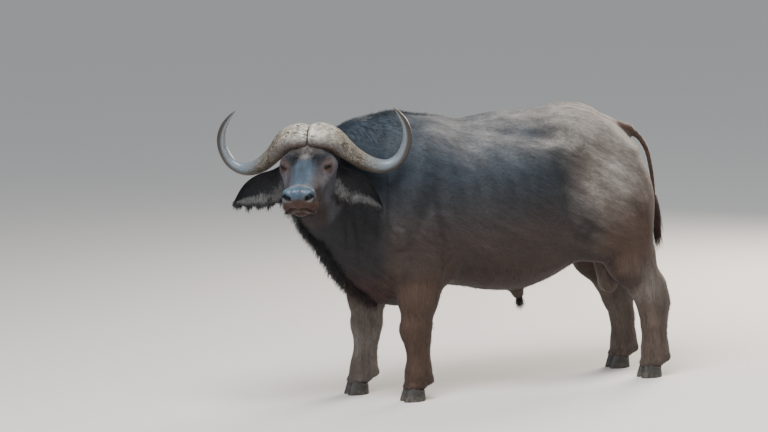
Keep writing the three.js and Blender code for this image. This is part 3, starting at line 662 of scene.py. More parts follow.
bodyStrokes = [  # line, width, and how deep it is cut in, or raised where that is below 0
    ([[930, 215, 1400], [915, 241, 1244], [925, 268, 1058], [915, 278, 821], [897, 249, 703]], 60, 17),
    ([[640, 270, 1240], [666, 316, 1096], [645, 326, 914], [623, 300, 760], [620, 262, 640]], 56, 21),
    ([[690, 325, 900], [640, 317, 830], [629, 306, 790], [654, 296, 735]], 24, -12),
    ([[706, 310, 810], [669, 300, 740], [678, 267, 640]], 20, -9),
    ([[700, 322, 830], [655, 310, 760], [662, 285, 690]], 18, 11),
    ([[900, 60, 560], [934, 96, 556], [1048, 125, 647], [1149, 137, 722]], 20, 9),
    ([[910, 90, 560], [949, 112, 585], [1004, 126, 640], [1081, 140, 700], [1180, 155, 790]], 19, 8),
    ([[892, 196, 603], [955, 184, 651], [1038, 185, 723]], 22, 10),
    ([[870, 190, 570], [900, 150, 560], [960, 130, 600], [1020, 150, 670]], 17, 7),
    ([[895, 215, 660], [950, 205, 700], [1010, 205, 770], [1060, 205, 850]], 20, 7),
    ([[1130, 225, 1060], [1109, 239, 940], [1099, 223, 851], [1083, 185, 754]], 36, 11),
    ([[1040, 240, 1150], [1054, 244, 1044], [1068, 244, 959], [1078, 231, 867]], 34, 10),
    ([[985, 235, 1250], [985, 250, 1100], [1000, 250, 950], [1010, 235, 830]], 34, 9),
    ([[1190, 210, 1020], [1180, 215, 940], [1160, 200, 850]], 28, 8),
    ([[932, 241, 1300], [939, 252, 1139], [944, 259, 1000]], 24, 7),
    ([[300, 205, 1440], [224, 221, 1421], [110, 245, 1400], [-5, 251, 1388], [-95, 250, 1392]], 84, 19),
    ([[240, 140, 1490], [100, 160, 1480], [-80, 180, 1470]], 50, -8),
    ([[-100, 235, 1450], [-130, 262, 1410], [-156, 273, 1350], [-176, 280, 1300]], 66, -17),
    ([[-20, 250, 1330], [-30, 290, 1230], [-71, 313, 1116], [-96, 328, 947], [-190, 319, 865]], 86, 15),
    ([[-150, 322, 905], [-202, 325, 864], [-230, 318, 820]], 58, 20),
    ([[-40, 300, 812], [-113, 299, 790], [-205, 297, 762], [-285, 280, 712]], 30, -10),
    ([[-90, 322, 850], [-170, 320, 820], [-250, 305, 775]], 28, 8),
    ([[-520, 285, 700], [-562, 289, 620], [-581, 282, 541], [-594, 279, 470]], 27, 17),
    ([[-430, 290, 1220], [-480, 320, 1080], [-520, 310, 900], [-540, 300, 760]], 46, 9),
    ([[-240, 300, 1260], [-250, 330, 1080], [-300, 340, 940]], 60, -8),
    ([[-470, 260, 1300], [-560, 200, 1290], [-600, 120, 1280]], 56, -9),
    ([[720, 215, 1440], [760, 270, 1240], [830, 310, 1020]], 60, -11),
    ([[640, 250, 1320], [720, 310, 1100], [800, 325, 930]], 52, 9),
    ([[880, 285, 960], [890, 285, 900], [885, 275, 830]], 84, -12),
    ([[690, 320, 1040], [700, 330, 950], [740, 322, 860]], 90, -10),
    ([[-430, 50, 1480], [-520, 62, 1420], [-590, 66, 1330], [-640, 74, 1210], [-650, 80, 1100]], 48, 16),
    ([[-540, 118, 1330], [-585, 122, 1290], [-600, 122, 1240]], 62, -16),
    ([[-590, 150, 1200], [-620, 165, 1060], [-590, 185, 900], [-560, 195, 800]], 44, 12),
    ([[-420, 262, 1330], [-500, 250, 1180], [-540, 262, 1020]], 50, 9),
    ([[-60, 12, 1540], [-260, 12, 1545], [-420, 10, 1500]], 50, -9),
    ([[-200, 90, 1530], [-330, 95, 1510], [-450, 90, 1450]], 60, 8),
    ([[100, 12, 1530], [300, 12, 1510], [480, 12, 1500], [640, 12, 1540]], 46, -8),
    *(([[300 + 92 * k, 200, 1470], [228 + 92 * k, 262, 1360], [176 + 92 * k, 330, 1230],
        [150 + 92 * k, 370, 1060]], 36, 5.5) for k in range(5)),
]
legStrokes = [  # place forward of the leg's bones, to its outside and up
    ([[-16, 60, 300], [-14, 60, 160]], 16, 6), ([[28, 60, 290], [26, 60, 170]], 18, 4),
    ([[45, 18, 420], [52, 14, 380], [45, 18, 345]], 60, -6), ([[-4, 70, 430], [-4, 70, 360]], 44, -4),
    ([[0, 66, 160], [0, 66, 130]], 44, -5), ([[-50, 50, 112], [-10, 66, 112], [50, 50, 106]], 14, 4),
]
faceStrokes = [  # in the head's frame, on the left side
    ([[322, 0, -52], [320, 26, -54], [312, 52, -66], [296, 76, -86], [262, 92, -100]], 15, 15),
    ([[262, 92, -100], [215, 88, -102], [160, 86, -96]], 12, 9),
    ([[332, 0, -10], [328, 0, -44]], 12, 2.2),
    ([[46, 84, 8], [24, 98, 34], [-8, 118, 40], [-42, 136, 24]], 12, 2.2),
    ([[50, 90, -14], [24, 112, -32], [-12, 132, -32]], 12, 2.4),
    ([[66, 86, -22], [34, 108, -46], [-10, 132, -48]], 14, 3),
    ([[34, 94, -2], [62, 90, -12], [88, 86, -24]], 13, 4),
    ([[70, 86, 0], [120, 80, -18], [200, 78, -22]], 30, -5),
    ([[250, 84, 0], [276, 92, -20], [284, 94, -50]], 16, 5),
    ([[236, 88, 10], [258, 92, -30], [256, 92, -66]], 14, 4),
    ([[-60, 140, -90], [20, 118, -130], [100, 88, -140]], 40, -6),
    ([[80, 96, -60], [60, 106, -110], [20, 104, -170]], 30, 6),
    ([[296, 22, 46], [318, 24, 30]], 16, -3),
]


def stroke(points, normals, line, width, depth):
    # Along a line settled on the skin: depth * (1 - d / width) ** 2 * (1 + 2 * d / width), eased at its ends.
    steps = 44
    line = settled(skinField, along(line, np.linspace(0, 1, steps))[0], coat, 4)[0]
    middle = (line.min(0) + line.max(0)) / 2
    near = np.flatnonzero(length(points - middle) < length(line.max(0) - line.min(0)) / 2 + width * 1.2)
    if not len(near):
        return np.zeros(0, int), np.zeros((0, 3))
    gaps = length(points[near][:, None] - line[None])
    share = gaps.argmin(1) / (steps - 1)
    d = np.clip(gaps.min(1) / width, 0, 1)
    ends = np.minimum(1, np.minimum(share, 1 - share) * 5 + 0.12)
    press = depth * (1 - d) ** 2 * (1 + 2 * d) * ends
    return near, -normals[near] * press[:, None]


def sculpted(points, normals):
    moved = points.copy()
    lines = []
    for line, width, depth in bodyStrokes:
        for side in (1, -1):
            # The right foreleg stands ahead of the left one.
            ahead = 0 if side > 0 else 60 * (line[0][0] > 600 and line[-1][2] < 760)
            lines.append((np.array([at(x + ahead, y * side, z) for x, y, z in line]), width, depth))
    for bones in legBones.values():
        bones = np.array(bones, float)
        middle, up = bones[::-1, 0], bones[::-1, 2]
        for line, width, depth in legStrokes:
            for side in (1, -1):
                spots = [at(x + np.interp(z, up, middle), bones[0, 1] + side * y, z) for x, y, z in line]
                lines.append((np.array(spots), width, depth))
    for line, width, depth in faceStrokes:
        for side in (1, -1):
            lines.append((fromHead(np.array([p3(x, side * y, z) for x, y, z in line])), width, depth))
    for line, width, depth in lines:
        near, move = stroke(points, normals, line, width * mm, depth * mm)
        moved[near] += move
    return moved


def wrinkled(points, normals):
    # Shallow waves of noise: upright on the neck and breast, sloping on the ribs, small ones on the face.
    forward, _, up = places(points)
    neck = ramp(forward, 860, 1000) * (1 - ramp(forward, 1260, 1330)) * (1 - ramp(up, 1150, 1420))
    folds = noise(points * np.array([1, 1, 0.16]) + 0.02 * noises(points, 0.2, (3, 3, 3)), 0.055, 8)
    trunkSkin = ramp(up, 640, 800) * (1 - ramp(forward, 900, 980))
    soft = cloud(points, 0.13, 14, 2)
    flank = noise(points @ np.array([[1, 0, 0.5], [0, 1, 0], [-0.12, 0, 0.25]]), 0.06, 19)
    face = 1 - ramp(length(toHead(points) - p3(100, 0, -50)), 0.26, 0.36)
    lift = neck * 5 * folds + trunkSkin * (3.2 * soft + 0.9 * flank) + face * 1.2 * cloud(points, 0.026, 25, 2)
    return points + normals * (lift * mm)[:, None]


skinPoints = wrinkled(sculpted(skinPoints, skinNormals), skinNormals)
print("skin sculpted")


# Markings: how much of each colour lies at a place, from 0 to 1

# The dust mark also carries painted light on the far foreleg and below the boss, and painted shade in the loin
# hollow
markNames = ["dustAndPaintedLight", "warm", "dark", "slate", "bare", "pale", "pink", "brown"]
mark = {name: k for k, name in enumerate(markNames)}
tailField = flesh(chain(tailBones), 20)


def evenMarks(count, **shares):  # markings that are given by name, and 0 for the others
    marks = np.zeros((count, len(markNames)))
    for name, share in shares.items():
        marks[:, mark[name]] = share
    return marks


def markings(points, normals):
    forward, left, up = places(points)
    patchy = 0.5 + 0.5 * cloud(points, 0.16, 61)
    fine = 0.5 + 0.45 * cloud(points, 0.075, 71)
    facing = normals[:, 2]
    outside = np.abs(left) > 120
    trunk = 1 - ramp(forward, 1150, 1260)
    # Painted sheen: the sky's bluish reflection over the upper body from the ribs forward, given as slate, with
    # less dust under it
    skySheen = ramp(forward, -120, 200) * ramp(up, 1050, 1330) * (0.4 + 0.6 * fine)
    tail = (1 - ramp(tailField(points) / mm, 4, 24)) * ramp(-forward, 455, 520)

    # Dust on the back, hips, rump, thighs, hocks, shins and the tops of the shoulders, with painted light on the
    # far foreleg and painted shade in the loin hollow
    back = ramp(facing, 0.2, 0.85) * (1 - ramp(forward, 350, 900)) * ramp(up, 1150, 1350)
    hips = hill((forward + 150, 130), (up - 1390, 90))
    rump = ramp(-forward, 180, 420) * ramp(up, 900, 1300)
    haunch = hill((forward + 300, 170), (up - 1080, 190)) * outside
    hocks = hill((forward + 600, 100), (up - 560, 130))
    shoulders = hill((forward - 560, 150), (up - 1400, 110)) * 0.5
    # Painted light: the lower far foreleg, shaded by the body, is made paler through the dust mark
    farForeLight = (1 - ramp(up, 380, 660)) * (left < 0) * (forward > 500)
    shinDustAndLight = (1 - ramp(up, 520, 700)) * (forward < 200) * 0.2 + 0.5 * farForeLight
    # Painted shade: less dust in the loin hollow in front of the hip, so that it shows darker
    loinHollowShade = hill((forward - 70, 170), (up - 1418, 30)) * outside
    dustAndPaintedLight = 1.1 * back + 1.5 * hips + 0.70 * rump + 0.64 * haunch + 0.42 * hocks
    dustAndPaintedLight = dustAndPaintedLight + shinDustAndLight + shoulders - 0.15 * loinHollowShade
    dustAndPaintedLight = dustAndPaintedLight * (0.3 + 1.0 * patchy * (0.5 + fine)) * trunk * (1 - 0.9 * tail) * (1 - 0.45 * skySheen)

    # Warm brown behind and below, dark on the neck, painted shade underneath and in the groin, and brown on the
    # tail and low brisket with painted warm bounce light under the belly
    warm = np.maximum(1 - ramp(up + 90 * patchy, 620, 1060), ramp(-forward + 120 * patchy, 80, 420))
    warm = np.maximum(warm, 0.55 * (1 - ramp(up, 800, 1150)))
    # The neck is dark, less so where it faces up: painted light on its top
    neck = ramp(forward, 930, 1020) * (1 - ramp(facing, 0.35, 0.9) * 0.7) * ramp(up, 560, 700)
    # under: painted shade on the faces that look down, low on the body
    under = (1 - ramp(facing, -0.75, -0.1)) * (1 - ramp(up, 700, 1000)) * ramp(up, 420, 560)
    # Painted shadow in the groin by the stifle
    groinShade = hill((forward + 200, 60), (up - 850, 70)) * (facing < 0.5)
    dark = np.maximum(np.maximum(0.56 * neck, 0.6 * groinShade), 0.5 * under)
    warm = np.maximum(warm * (1 - 0.5 * neck), tail)
    # low: painted warm light bounced up from the floor, brown on the belly's underside, added to the brown of
    # the tail and brisket
    low = (1 - ramp(up + 60 * patchy, 620, 800)) * ramp(up, 460, 560) * ramp(facing, -0.1, -0.6)
    chest = ramp(forward, 880, 960) * (1 - ramp(up, 600, 740)) * ramp(up, 480, 560)
    brownAndBounceLight = 0.75 * low + 0.35 * tail + 0.4 * chest
    bag = hill((forward + 440, 70), (up - 540, 120), (left, 90)) * (up < 660) * (np.abs(left) < 95)

    # The head: a bare muzzle with its top, front, lips and rim, a slate bridge, and painted shade in the hollows
    # by the eyes
    head = toHead(points) / mm
    x, y, z = head.T
    y = np.abs(y)
    inHead = 1 - ramp(length(head - headMiddle / mm), 270, 330)
    dark, warm, dustAndPaintedLight = mix(dark, 0, inHead), mix(warm, 0.5, inHead), mix(dustAndPaintedLight, 0, inHead)
    cut = lambda shape: inHead * wave(shape)
    grain = cloud(points, 0.05, 101, 2)
    speckle = wave((cloud(points, 0.013, 83, 2) - 0.3) / 0.35)
    padEdge = x - 254 - 0.22 * (y - 40) + 4 * grain  # millimetres in front of the bare pad's edge
    muzzle = cut((padEdge + 8) / 16)
    # Painted reflection: the top of the wet nose gets slate blue and a little pale, the sky seen in it
    noseTopSheen = muzzle * ramp(z + 0.25 * (x - 300) + 4 * grain, -2, 16)
    noseFront = muzzle * (1 - ramp(z + 4 * grain, 0, 16)) * ramp(z, -50, -36)
    lips = cut((padEdge + 26) / 30) * (1 - ramp(z, -46, -28))
    rim = inHead * hill((padEdge - 3, 13)) * ramp(z, -26, 16) * (0.75 + 0.7 * grain)
    bridge = cut((x + 60) / 100) * (1 - ramp(x, 228, 266)) * (1 - ramp(y + 20 * grain, 30, 100))
    bridge = bridge * ramp(z, -34, 26)
    eyeNear = hill((x - 6, 40), (y - 124, 32), (z + 6, 38))
    # hollow: painted shade in the hollows inside the eyes, given as dark
    hollow = hill((x - 4, 36), (y - 72, 20), (z - 32, 26))
    # brow: dark hair on the brows, with a painted bluish highlight given as slate
    brow = hill((x + 62, 44), (y - 80, 40), (z - 30, 44))
    between = hill((x - 12, 44), (y, 70)) * ramp(z, 10, 40)
    forelock = hill((x + 14, 32), (y + 10 * grain, 25)) * inHead * ramp(z, 10, 40)
    # nearBoss: the brown-pink hair under the boss's edge, made paler with dust and pale as painted light against
    # the boss's shadow
    nearBoss = cut((-46 - x) / 26) * (1 - ramp(y, 84, 110)) * ramp(z, 10, 40)
    cheek = inHead * ramp(y, 74, 108) * (1 - ramp(x, 200, 250)) * (1 - ramp(z, 10, 30))
    slot = np.clip(((y - 50) * 30 + (z - 8) * 17) / 1189, 0, 1)  # the share along the slanting nostril
    offSlot = np.sqrt((y - 50 - 30 * slot) ** 2 + (z - 8 - 17 * slot) ** 2)
    # nostril: painted shade inside the nostrils, given as dark
    nostril = inHead * (1 - ramp(offSlot, 8, 15)) * ramp(x, 285, 300)
    wing = inHead * hill((offSlot - 18, 4.5)) * ramp((y - 50) * 17 - (z - 8) * 30, 60, 420) * ramp(x, 284, 302)

    # What each colour gets from these
    dark = dark + inHead * (0.95 * hollow + 0.5 * brow + 0.42 * between) + 1.4 * nostril
    slate = bridge * (0.62 + 0.42 * grain) + noseTopSheen * (0.86 + 0.3 * grain) + 0.25 * nearBoss + 0.42 * brow
    slate = np.clip(slate, 0, 1) + inHead * (0.34 * cheek + 0.4 * wing)
    # Painted sheen: slate, the sky's bluish reflection, over the upper body and along the top of the neck
    slate = slate + (0.30 * skySheen + 0.42 * neck * ramp(up, 980, 1250) * (0.3 + fine)) * (1 - inHead)
    pink = 0.30 * eyeNear * (0.5 + fine) + 0.42 * rim + 0.22 * cheek * fine + 0.16 * bag
    brown = np.clip(0.95 * noseFront + 0.95 * lips + 0.35 * eyeNear + 0.5 * nearBoss, 0, 1) * (1 - 0.8 * wing)
    brown = np.maximum(brown, brownAndBounceLight * (1 - inHead))
    dark = dark + 0.16 * lips * (0.5 + grain)
    dustAndPaintedLight = dustAndPaintedLight + 0.6 * nearBoss + 0.24 * cheek * fine
    pale = 0.8 * forelock * (0.7 + 0.6 * speckle) + 0.22 * rim + 0.2 * wing + 0.05 * noseTopSheen
    pale = pale + inHead * speckle * (0.13 * bridge + 0.05 * cheek) + 0.14 * nearBoss
    dark = dark * (1 - muzzle * (1 - lips) * (1 - np.clip(1.4 * nostril, 0, 1)))
    warm = np.maximum(warm, bag)
    bare = np.clip(muzzle + 0.7 * bag, 0, 1) * (1 - np.clip(nostril, 0, 1))
    return np.clip(np.stack([dustAndPaintedLight, warm, dark, slate, bare, pale, pink, brown], -1), 0, 1)


skinMarks = markings(skinPoints, normalsOf(skinPoints, skinQuads, skinTris))
lidB = np.concatenate([b for _, b in lids])
lidAway = np.min([length(toHead(skinPoints[bodyCount:]) - eyeAt(side)) for side in (1, -1)], axis=0)
skinMarks[bodyCount:] = lidMarks(lidB, lidAway, skinMarks[bodyCount:])

# Ears: a cupped leaf between an upper and a lower edge, in the head's frame, on the left side

earLook = {
    "root": {"upper": [-100, 112, -12], "lower": [-60, 112, -98]},
    "left": {"upper": [[-92, 190, -58], [-100, 258, -96], [-110, 308, -150], [-115, 340, -226]],
             "lower": [[-22, 148, -196], [-38, 210, -238], [-70, 272, -260], [-98, 322, -294]],
             "tip": [-120, 366, -330]},
    "right": {"upper": [[-92, 190, -60], [-100, 278, -95], [-110, 342, -140], [-115, 388, -193]],
              "lower": [[-22, 150, -194], [-38, 240, -236], [-70, 320, -256], [-98, 384, -268]],
              "tip": [-120, 436, -276]},
    "thick": 7, "cup": 46, "rings": 58, "sides": 44, "inTheHead": 26,
}


def earPoint(edges, u, v):
    # Between the edges by v from -1 to 1, pushed back by depth * (1 - v * v), so that it is cupped.
    upper, lower = (along(np.array([earLook["root"][edge], *edges[edge], edges["tip"]]) * mm, u)[0]
                    for edge in ("upper", "lower"))
    depth = (earLook["cup"] * wave(u / 0.2) * (1 - u) ** 0.6 + 10 * (1 - u)) * mm
    folds = 2.2 * mm * np.sin(v * 9 + u * 5) * wave(u / 0.25) * (1 - u) * (1 - v ** 4)
    rim = 5 * mm * wave((v - 0.72) / 0.28) * wave(u / 0.2)
    back = depth * (1 - v * v) + folds - rim
    return mix(upper, lower, ((v + 1) / 2)[:, None]) + np.array([-1, 0.15, 0.1]) * back[:, None]


def earGrid(name, side):
    # A flattened tube: cos(spin) runs across the leaf and sin(spin) through its thickness.
    edges, rings, sides = earLook[name], earLook["rings"], earLook["sides"]
    share, spin = around(rings, sides)
    closing = np.minimum(1, np.sqrt(np.minimum(share / 0.05, (1 - share) / 0.05)))
    v = np.cos(spin) * closing
    u = np.clip(share, 0.001, 0.999)
    here = earPoint(edges, u, v)
    across = earPoint(edges, u, np.minimum(v + 0.01, 1)) - earPoint(edges, u, v - 0.01)
    ahead = earPoint(edges, np.minimum(u + 0.01, 1), v) - earPoint(edges, np.maximum(u - 0.01, 0), v)
    face = unit(np.cross(ahead, across))
    here = here + face * (np.sin(spin) * closing * earLook["thick"] / 2 * mm)[:, None]
    here[:, 1] -= earLook["inTheHead"] * mm * (1 - wave(u / 0.16))
    here[:, 1] *= side
    return closedGrid(fromHead(here).reshape(rings, sides, 3))


# Horns: sections lead out from the middle of the head, in its frame, the last ones to each tip's own place

hornLook = {
    "sections": [  # x, y, z, half width towards the front and half thickness
        [-180, 0, 76, 94, 54], [-182, 60, 82, 99, 60], [-188, 128, 55, 92, 56], [-197, 182, -6, 74, 46],
        [-205, 226, -56, 61, 42], [-215, 276, -101, 50, 39], [-228, 336, -134, 42, 37],
        [-244, 400, -143, 36, 34], [-262, 458, -112, 31, 31], [-277, 494, -45, 28, 28],
        [-285, 503, 25, 25, 25], [-292, 488, 92, 20, 20], [-298, 455, 148, 11, 11], [-300, 427, 178, 3, 3]],
    "tips": {"left": 443, "right": 403}, "salt": {"left": 3, "right": 47},
    "split": 3.5, "rings": 340, "flat": 14, "sides": 168,  # the flat rings lie on the inner face
}


hornMasks = ("bark", "pits", "out", "band", "upper")


def hornGrid(name, side):
    # Rings round a curve, wide towards the front. The first ones lie on the flat inner face at the split.
    rows = np.array(hornLook["sections"], float)
    last = len(rows) - 1
    rows[:, 1] += (hornLook["tips"][name] - rows[-1, 1]) * wave((np.arange(last + 1) - last + 5) / 5)
    rows *= mm
    rings, flat, sides = (hornLook[key] for key in ("rings", "flat", "sides"))
    step = np.arange(rings)
    run = np.clip((step - flat) / (rings - 1 - flat), 0, 0.998)
    t, whole = shareOf(rows[:, :3], run, 900)
    centre, sizes = curve(rows[:, :3], t), curve(np.pad(rows[:, 3:], ((0, 0), (0, 1))), t)
    ahead = aheadOf(rows[:, :3], t)
    wideWay = unit(np.array([1, 0, 0]) - ahead * ahead[:, :1])
    thickWay = np.cross(ahead, wideWay)
    spin = np.arange(sides) * 2 * math.pi / sides
    gap = run * whole  # metres from the split
    swell = 0.82 + 0.1 * np.sqrt(1 - (1 - np.clip(gap / 0.012, 0, 1)) ** 2) + 0.08 * wave(gap / 0.05)
    swell = swell * np.clip((step + 0.5) / flat, 0, 1)
    wide = np.cos(spin)[None, :, None] * wideWay[:, None]
    thick = np.sin(spin)[None, :, None] * thickWay[:, None]
    out = wide * sizes[:, None, :1] + thick * sizes[:, None, 1:2]
    grid = (centre[:, None] + out * swell[:, None, None]).reshape(-1, 3)
    way = unit(wide / sizes[:, None, :1] + thick / sizes[:, None, 1:2]).reshape(-1, 3)
    place = np.stack([np.repeat(gap, sides), np.tile(spin, rings)], -1)
    grid, masks = hornSkin(grid, way, place, hornLook["salt"][name])
    grid[:, 1] = np.maximum(grid[:, 1], hornLook["split"] * mm)
    grid[:, 1] *= side
    return closedGrid(fromHead(grid).reshape(rings, sides, 3)), np.vstack([masks, masks[:1], masks[-1:]])


def hornSkin(grid, way, place, salt):
    # Bark: ridges and pits stretched along the horn, deep on the boss and gone past the lower bend.
    gap, spin = place.T
    front = np.cos(spin)
    upper = -np.sin(spin)
    bark = 1 - ramp(gap + 0.06 * noise(grid, 0.05, salt) + 0.05 * upper, 0.34, 0.52)
    band = bump(front + 0.05 * noise(grid, 0.012, salt + 71), 1.1, 0.46) * (1 - ramp(gap, 0.14, 0.26))
    girth = np.stack([gap * 0.4, np.cos(spin) * 0.08, np.sin(spin) * 0.08], -1)
    swirl = girth + 0.006 * noises(grid, 0.03, (salt + 5, salt + 6, salt + 7))
    ridges = 1 - 2 * np.abs(cloud(swirl, 0.012, salt + 11))
    lumps = cloud(swirl, 0.045, salt + 21, 2)
    fine = cloud(grid, 0.006, salt + 31, 2)
    pitted = cloud(grid, 0.07, salt + 61, 2) + 0.34 - 0.2 * front + 0.9 * ramp(gap, 0.06, 0.2)
    pitted = wave(pitted / 0.5)  # more pits behind and further out
    pits = wave((cloud(swirl, 0.0075, salt + 41, 2) - 0.14) / 0.22) * pitted
    pits = np.maximum(pits, 0.75 * wave((ridges - 0.82) / 0.16) * (0.4 + 0.6 * pitted))
    rough = bark * (1 - 0.8 * band)
    rings = np.sin(gap * 2 * math.pi / 0.016 + 2 * noise(grid, 0.06, salt + 51)) * ramp(gap, 0.3, 0.5)
    lift = rough * (1.9 * ridges + 3.0 * lumps + 0.7 * fine - 2.8 * pits) + (1 - rough) * 0.25 * rings
    lift = lift * np.minimum(1, gap / 0.01 + 0.3) - 2.5 * band
    grid = grid + way * (lift - 1.2)[:, None] * mm
    masks = np.stack([rough, pits * rough, gap / 0.9, band, upper * 0.5 + 0.5], -1)
    return grid, masks


# Eyes: a sphere with a raised cornea, turned so that its pole looks out

eyeLook = {"rings": 64, "sides": 64, "cornea": 0.74, "raised": 2.2, "iris": 0.72, "pupil": (0.36, 0.17),
           "drawnIn": 0.2}


def eyeGrid(side):
    # Rings round the gaze. Inside the cornea's angle the radius grows by raised * (1 - (angle / cornea) ** 2).
    rings, sides = eyeLook["rings"], eyeLook["sides"]
    share, spin = around(rings, sides)
    angle = share * math.pi
    radius = headLook["eyeRadius"] + eyeLook["raised"] * np.maximum(0, 1 - (angle / eyeLook["cornea"]) ** 2)
    covered = np.maximum(ramp(angle, 0.98, 1.3), ramp(np.abs(np.sin(angle) * np.sin(spin)), 0.56, 0.8))
    radius = radius * (1 - eyeLook["drawnIn"] * covered)  # smaller behind the lids
    ahead = gaze(side)
    across = unit(np.cross([0, 0, 1], ahead))
    over = np.cross(ahead, across)
    disc = np.stack([np.sin(angle) * np.cos(spin), np.sin(angle) * np.sin(spin)], -1)
    way = disc[:, :1] * across + disc[:, 1:] * over + np.cos(angle)[:, None] * ahead
    grid = eyeAt(side) + way * radius[:, None] * mm
    numbers = {"across": disc[:, 0], "over": disc[:, 1], "angle": angle}
    ends = {"across": (0, 0), "over": (0, 0), "angle": (0, math.pi)}
    numbers = {name: np.concatenate([values, ends[name]]) for name, values in numbers.items()}
    return closedGrid(fromHead(grid).reshape(rings, sides, 3)), numbers


def earMarks(count):  # black, with a brown rim inside the leaf; the pale hair is added later
    share, spin = around(earLook["rings"], earLook["sides"])
    v = np.concatenate([np.cos(spin), [0, 0]])
    u = np.concatenate([share, [0, 1]])
    brown = 0.35 * ramp(v, 0.2, 0.8) * ramp(u, 0.05, 0.2)
    return evenMarks(count, dark=0.96 - 0.4 * ramp(v, 0.3, 0.9), brown=brown, warm=0.4)


def tailGrid():
    # A round tube along the tail's line, its radius the bones' less the coat, swelling a little at each joint.
    rings, sides, joints = 120, 22, 15
    bones = np.array(tailBones[1:], float)
    line = lineOf(bones)
    share = (np.arange(rings) + 0.5) / rings
    centre, ahead = along(line, share)
    run = np.concatenate([[0], np.cumsum(length(np.diff(line, axis=0)))])
    radius = np.interp(share, run / run[-1], bones[:, 3]) - bodyLook["coat"]
    radius = radius * (1 + 0.05 * np.sin(share * 2 * math.pi * joints))
    radius = radius * np.sqrt(np.minimum(1, (1 - share) / 0.02))  # closed round at its end
    across = np.tile([[0.0, 1.0, 0.0]], (rings, 1))
    over = np.cross(ahead, across)
    spin = np.arange(sides) * 2 * math.pi / sides
    ring = np.cos(spin)[None, :, None] * across[:, None] + np.sin(spin)[None, :, None] * over[:, None]
    return closedGrid(centre[:, None] + ring * radius[:, None, None] * mm)


ears = [outward(*earGrid("left", 1)), outward(*earGrid("right", -1))]
tail = outward(*tailGrid())
skinCount = len(skinPoints)
skinPoints, skinQuads, skinTris = joined([(skinPoints, skinQuads, skinTris), *ears, tail])
tailMarks = markings(tail[0], normalsOf(*tail))
skinMarks = np.vstack([skinMarks, *(earMarks(len(ear[0])) for ear in ears), tailMarks])
print("lids, ears and tail joined:", len(skinQuads) * 2 + len(skinTris), "triangles")


# Materials

def newMaterial(name):
    material = bpy.data.materials.new(name)
    material.use_nodes = True
    return material, material.node_tree, material.node_tree.nodes["Principled BSDF"]


def newGroup(name, inputs, outputs):
    # A node group with named inputs and outputs, given as name: (type, value), and its two end nodes.
    group = bpy.data.node_groups.new(name, "ShaderNodeTree")
    for label, (kind, value) in inputs.items():
        socket = group.interface.new_socket(label, in_out="INPUT", socket_type="NodeSocket" + kind)
        if value is not None:
            socket.default_value = value
    for label, kind in outputs.items():
        group.interface.new_socket(label, in_out="OUTPUT", socket_type="NodeSocket" + kind)
    return group, group.nodes.new("NodeGroupInput"), group.nodes.new("NodeGroupOutput")


def feed(tree, node, values):  # sets or links each input that is named
    for name, value in values.items():
        if isinstance(value, bpy.types.NodeSocket):
            tree.links.new(value, node.inputs[name])
        else:
            node.inputs[name].default_value = value


def add(tree, kind, values=None, **settings):  # a node with its settings and the values or links of its inputs
    node = tree.nodes.new("ShaderNode" + kind)
    for name, value in settings.items():
        setattr(node, name, value)
    feed(tree, node, values or {})
    return node


def mathNode(tree, operation, a, b=0.0, clamp=False):
    return add(tree, "Math", {0: a, 1: b}, operation=operation, use_clamp=clamp).outputs[0]


def times(tree, a, b, clamp=False):
    return mathNode(tree, "MULTIPLY", a, b, clamp)


def plus(tree, a, b, clamp=False):
    return mathNode(tree, "ADD", a, b, clamp)


def mapped(tree, value, low=0.0, high=1.0, first=0.0, last=1.0):  # low to high becomes first to last
    return add(tree, "MapRange", {0: value, 1: low, 2: high, 3: first, 4: last}).outputs[0]


def mixValue(tree, share, a, b):
    return add(tree, "Mix", {0: share, 2: a, 3: b}, data_type="FLOAT").outputs[0]


def mixColour(tree, share, a, b):
    values = {0: share}
    for k, value in ((6, a), (7, b)):
        values[k] = value if isinstance(value, bpy.types.NodeSocket) else (*value, 1)
    return add(tree, "Mix", values, data_type="RGBA").outputs[2]


def scaled(tree, colour, factor):  # a colour made lighter or darker
    return add(tree, "VectorMath", {0: colour, "Scale": factor}, operation="SCALE").outputs[0]


def grains(tree, where, scale, detail, roughness=0.5):  # the value of a noise texture
    values = {"Vector": where, "Scale": scale, "Detail": detail, "Roughness": roughness}
    return add(tree, "TexNoise", values).outputs["Fac"]


def bumped(tree, height, distance, strength):
    return add(tree, "Bump", {"Height": height, "Distance": distance, "Strength": strength}).outputs[0]


def onPiece(tree):
    return add(tree, "TexCoord").outputs["Object"]


def attribute(tree, name):
    return add(tree, "Attribute", attribute_name=name).outputs["Fac"]


faceTurn = Matrix(headAxes.T.tolist()).to_euler()


def furLieGroup():
    # Noises stretched along the lie of the hair: back and down on the trunk, down on the legs, along the face.
    group, start, end = newGroup("fur_lie", {"Place": ("Vector", None), "Legs": ("Float", 0.0),
                                             "Face": ("Float", 0.0)}, {"Streaks": "Float", "Hairs": "Float"})
    lies = (((0, 0.5, 0), "X", 9.0), ((0, 0, 0), "Z", 9.0), (faceTurn, "X", 22.0))  # turn, axis and length
    parts = []
    for turn, axis, run in lies:
        scale = [1 / (run * (1 if name == axis else 6.5)) for name in "XYZ"]
        where = add(group, "Mapping", {"Vector": start.outputs["Place"], "Rotation": turn, "Scale": scale},
                    vector_type="TEXTURE").outputs[0]
        parts.append((grains(group, where, 0.33, 4.0, 0.62), grains(group, where, 2.4, 3.0, 0.6)))
    for label, trunk, legs, face in zip(("Streaks", "Hairs"), *parts):
        onBody = mixValue(group, start.outputs["Legs"], trunk, legs)
        feed(group, end, {label: mixValue(group, start.outputs["Face"], onBody, face)})
    return group


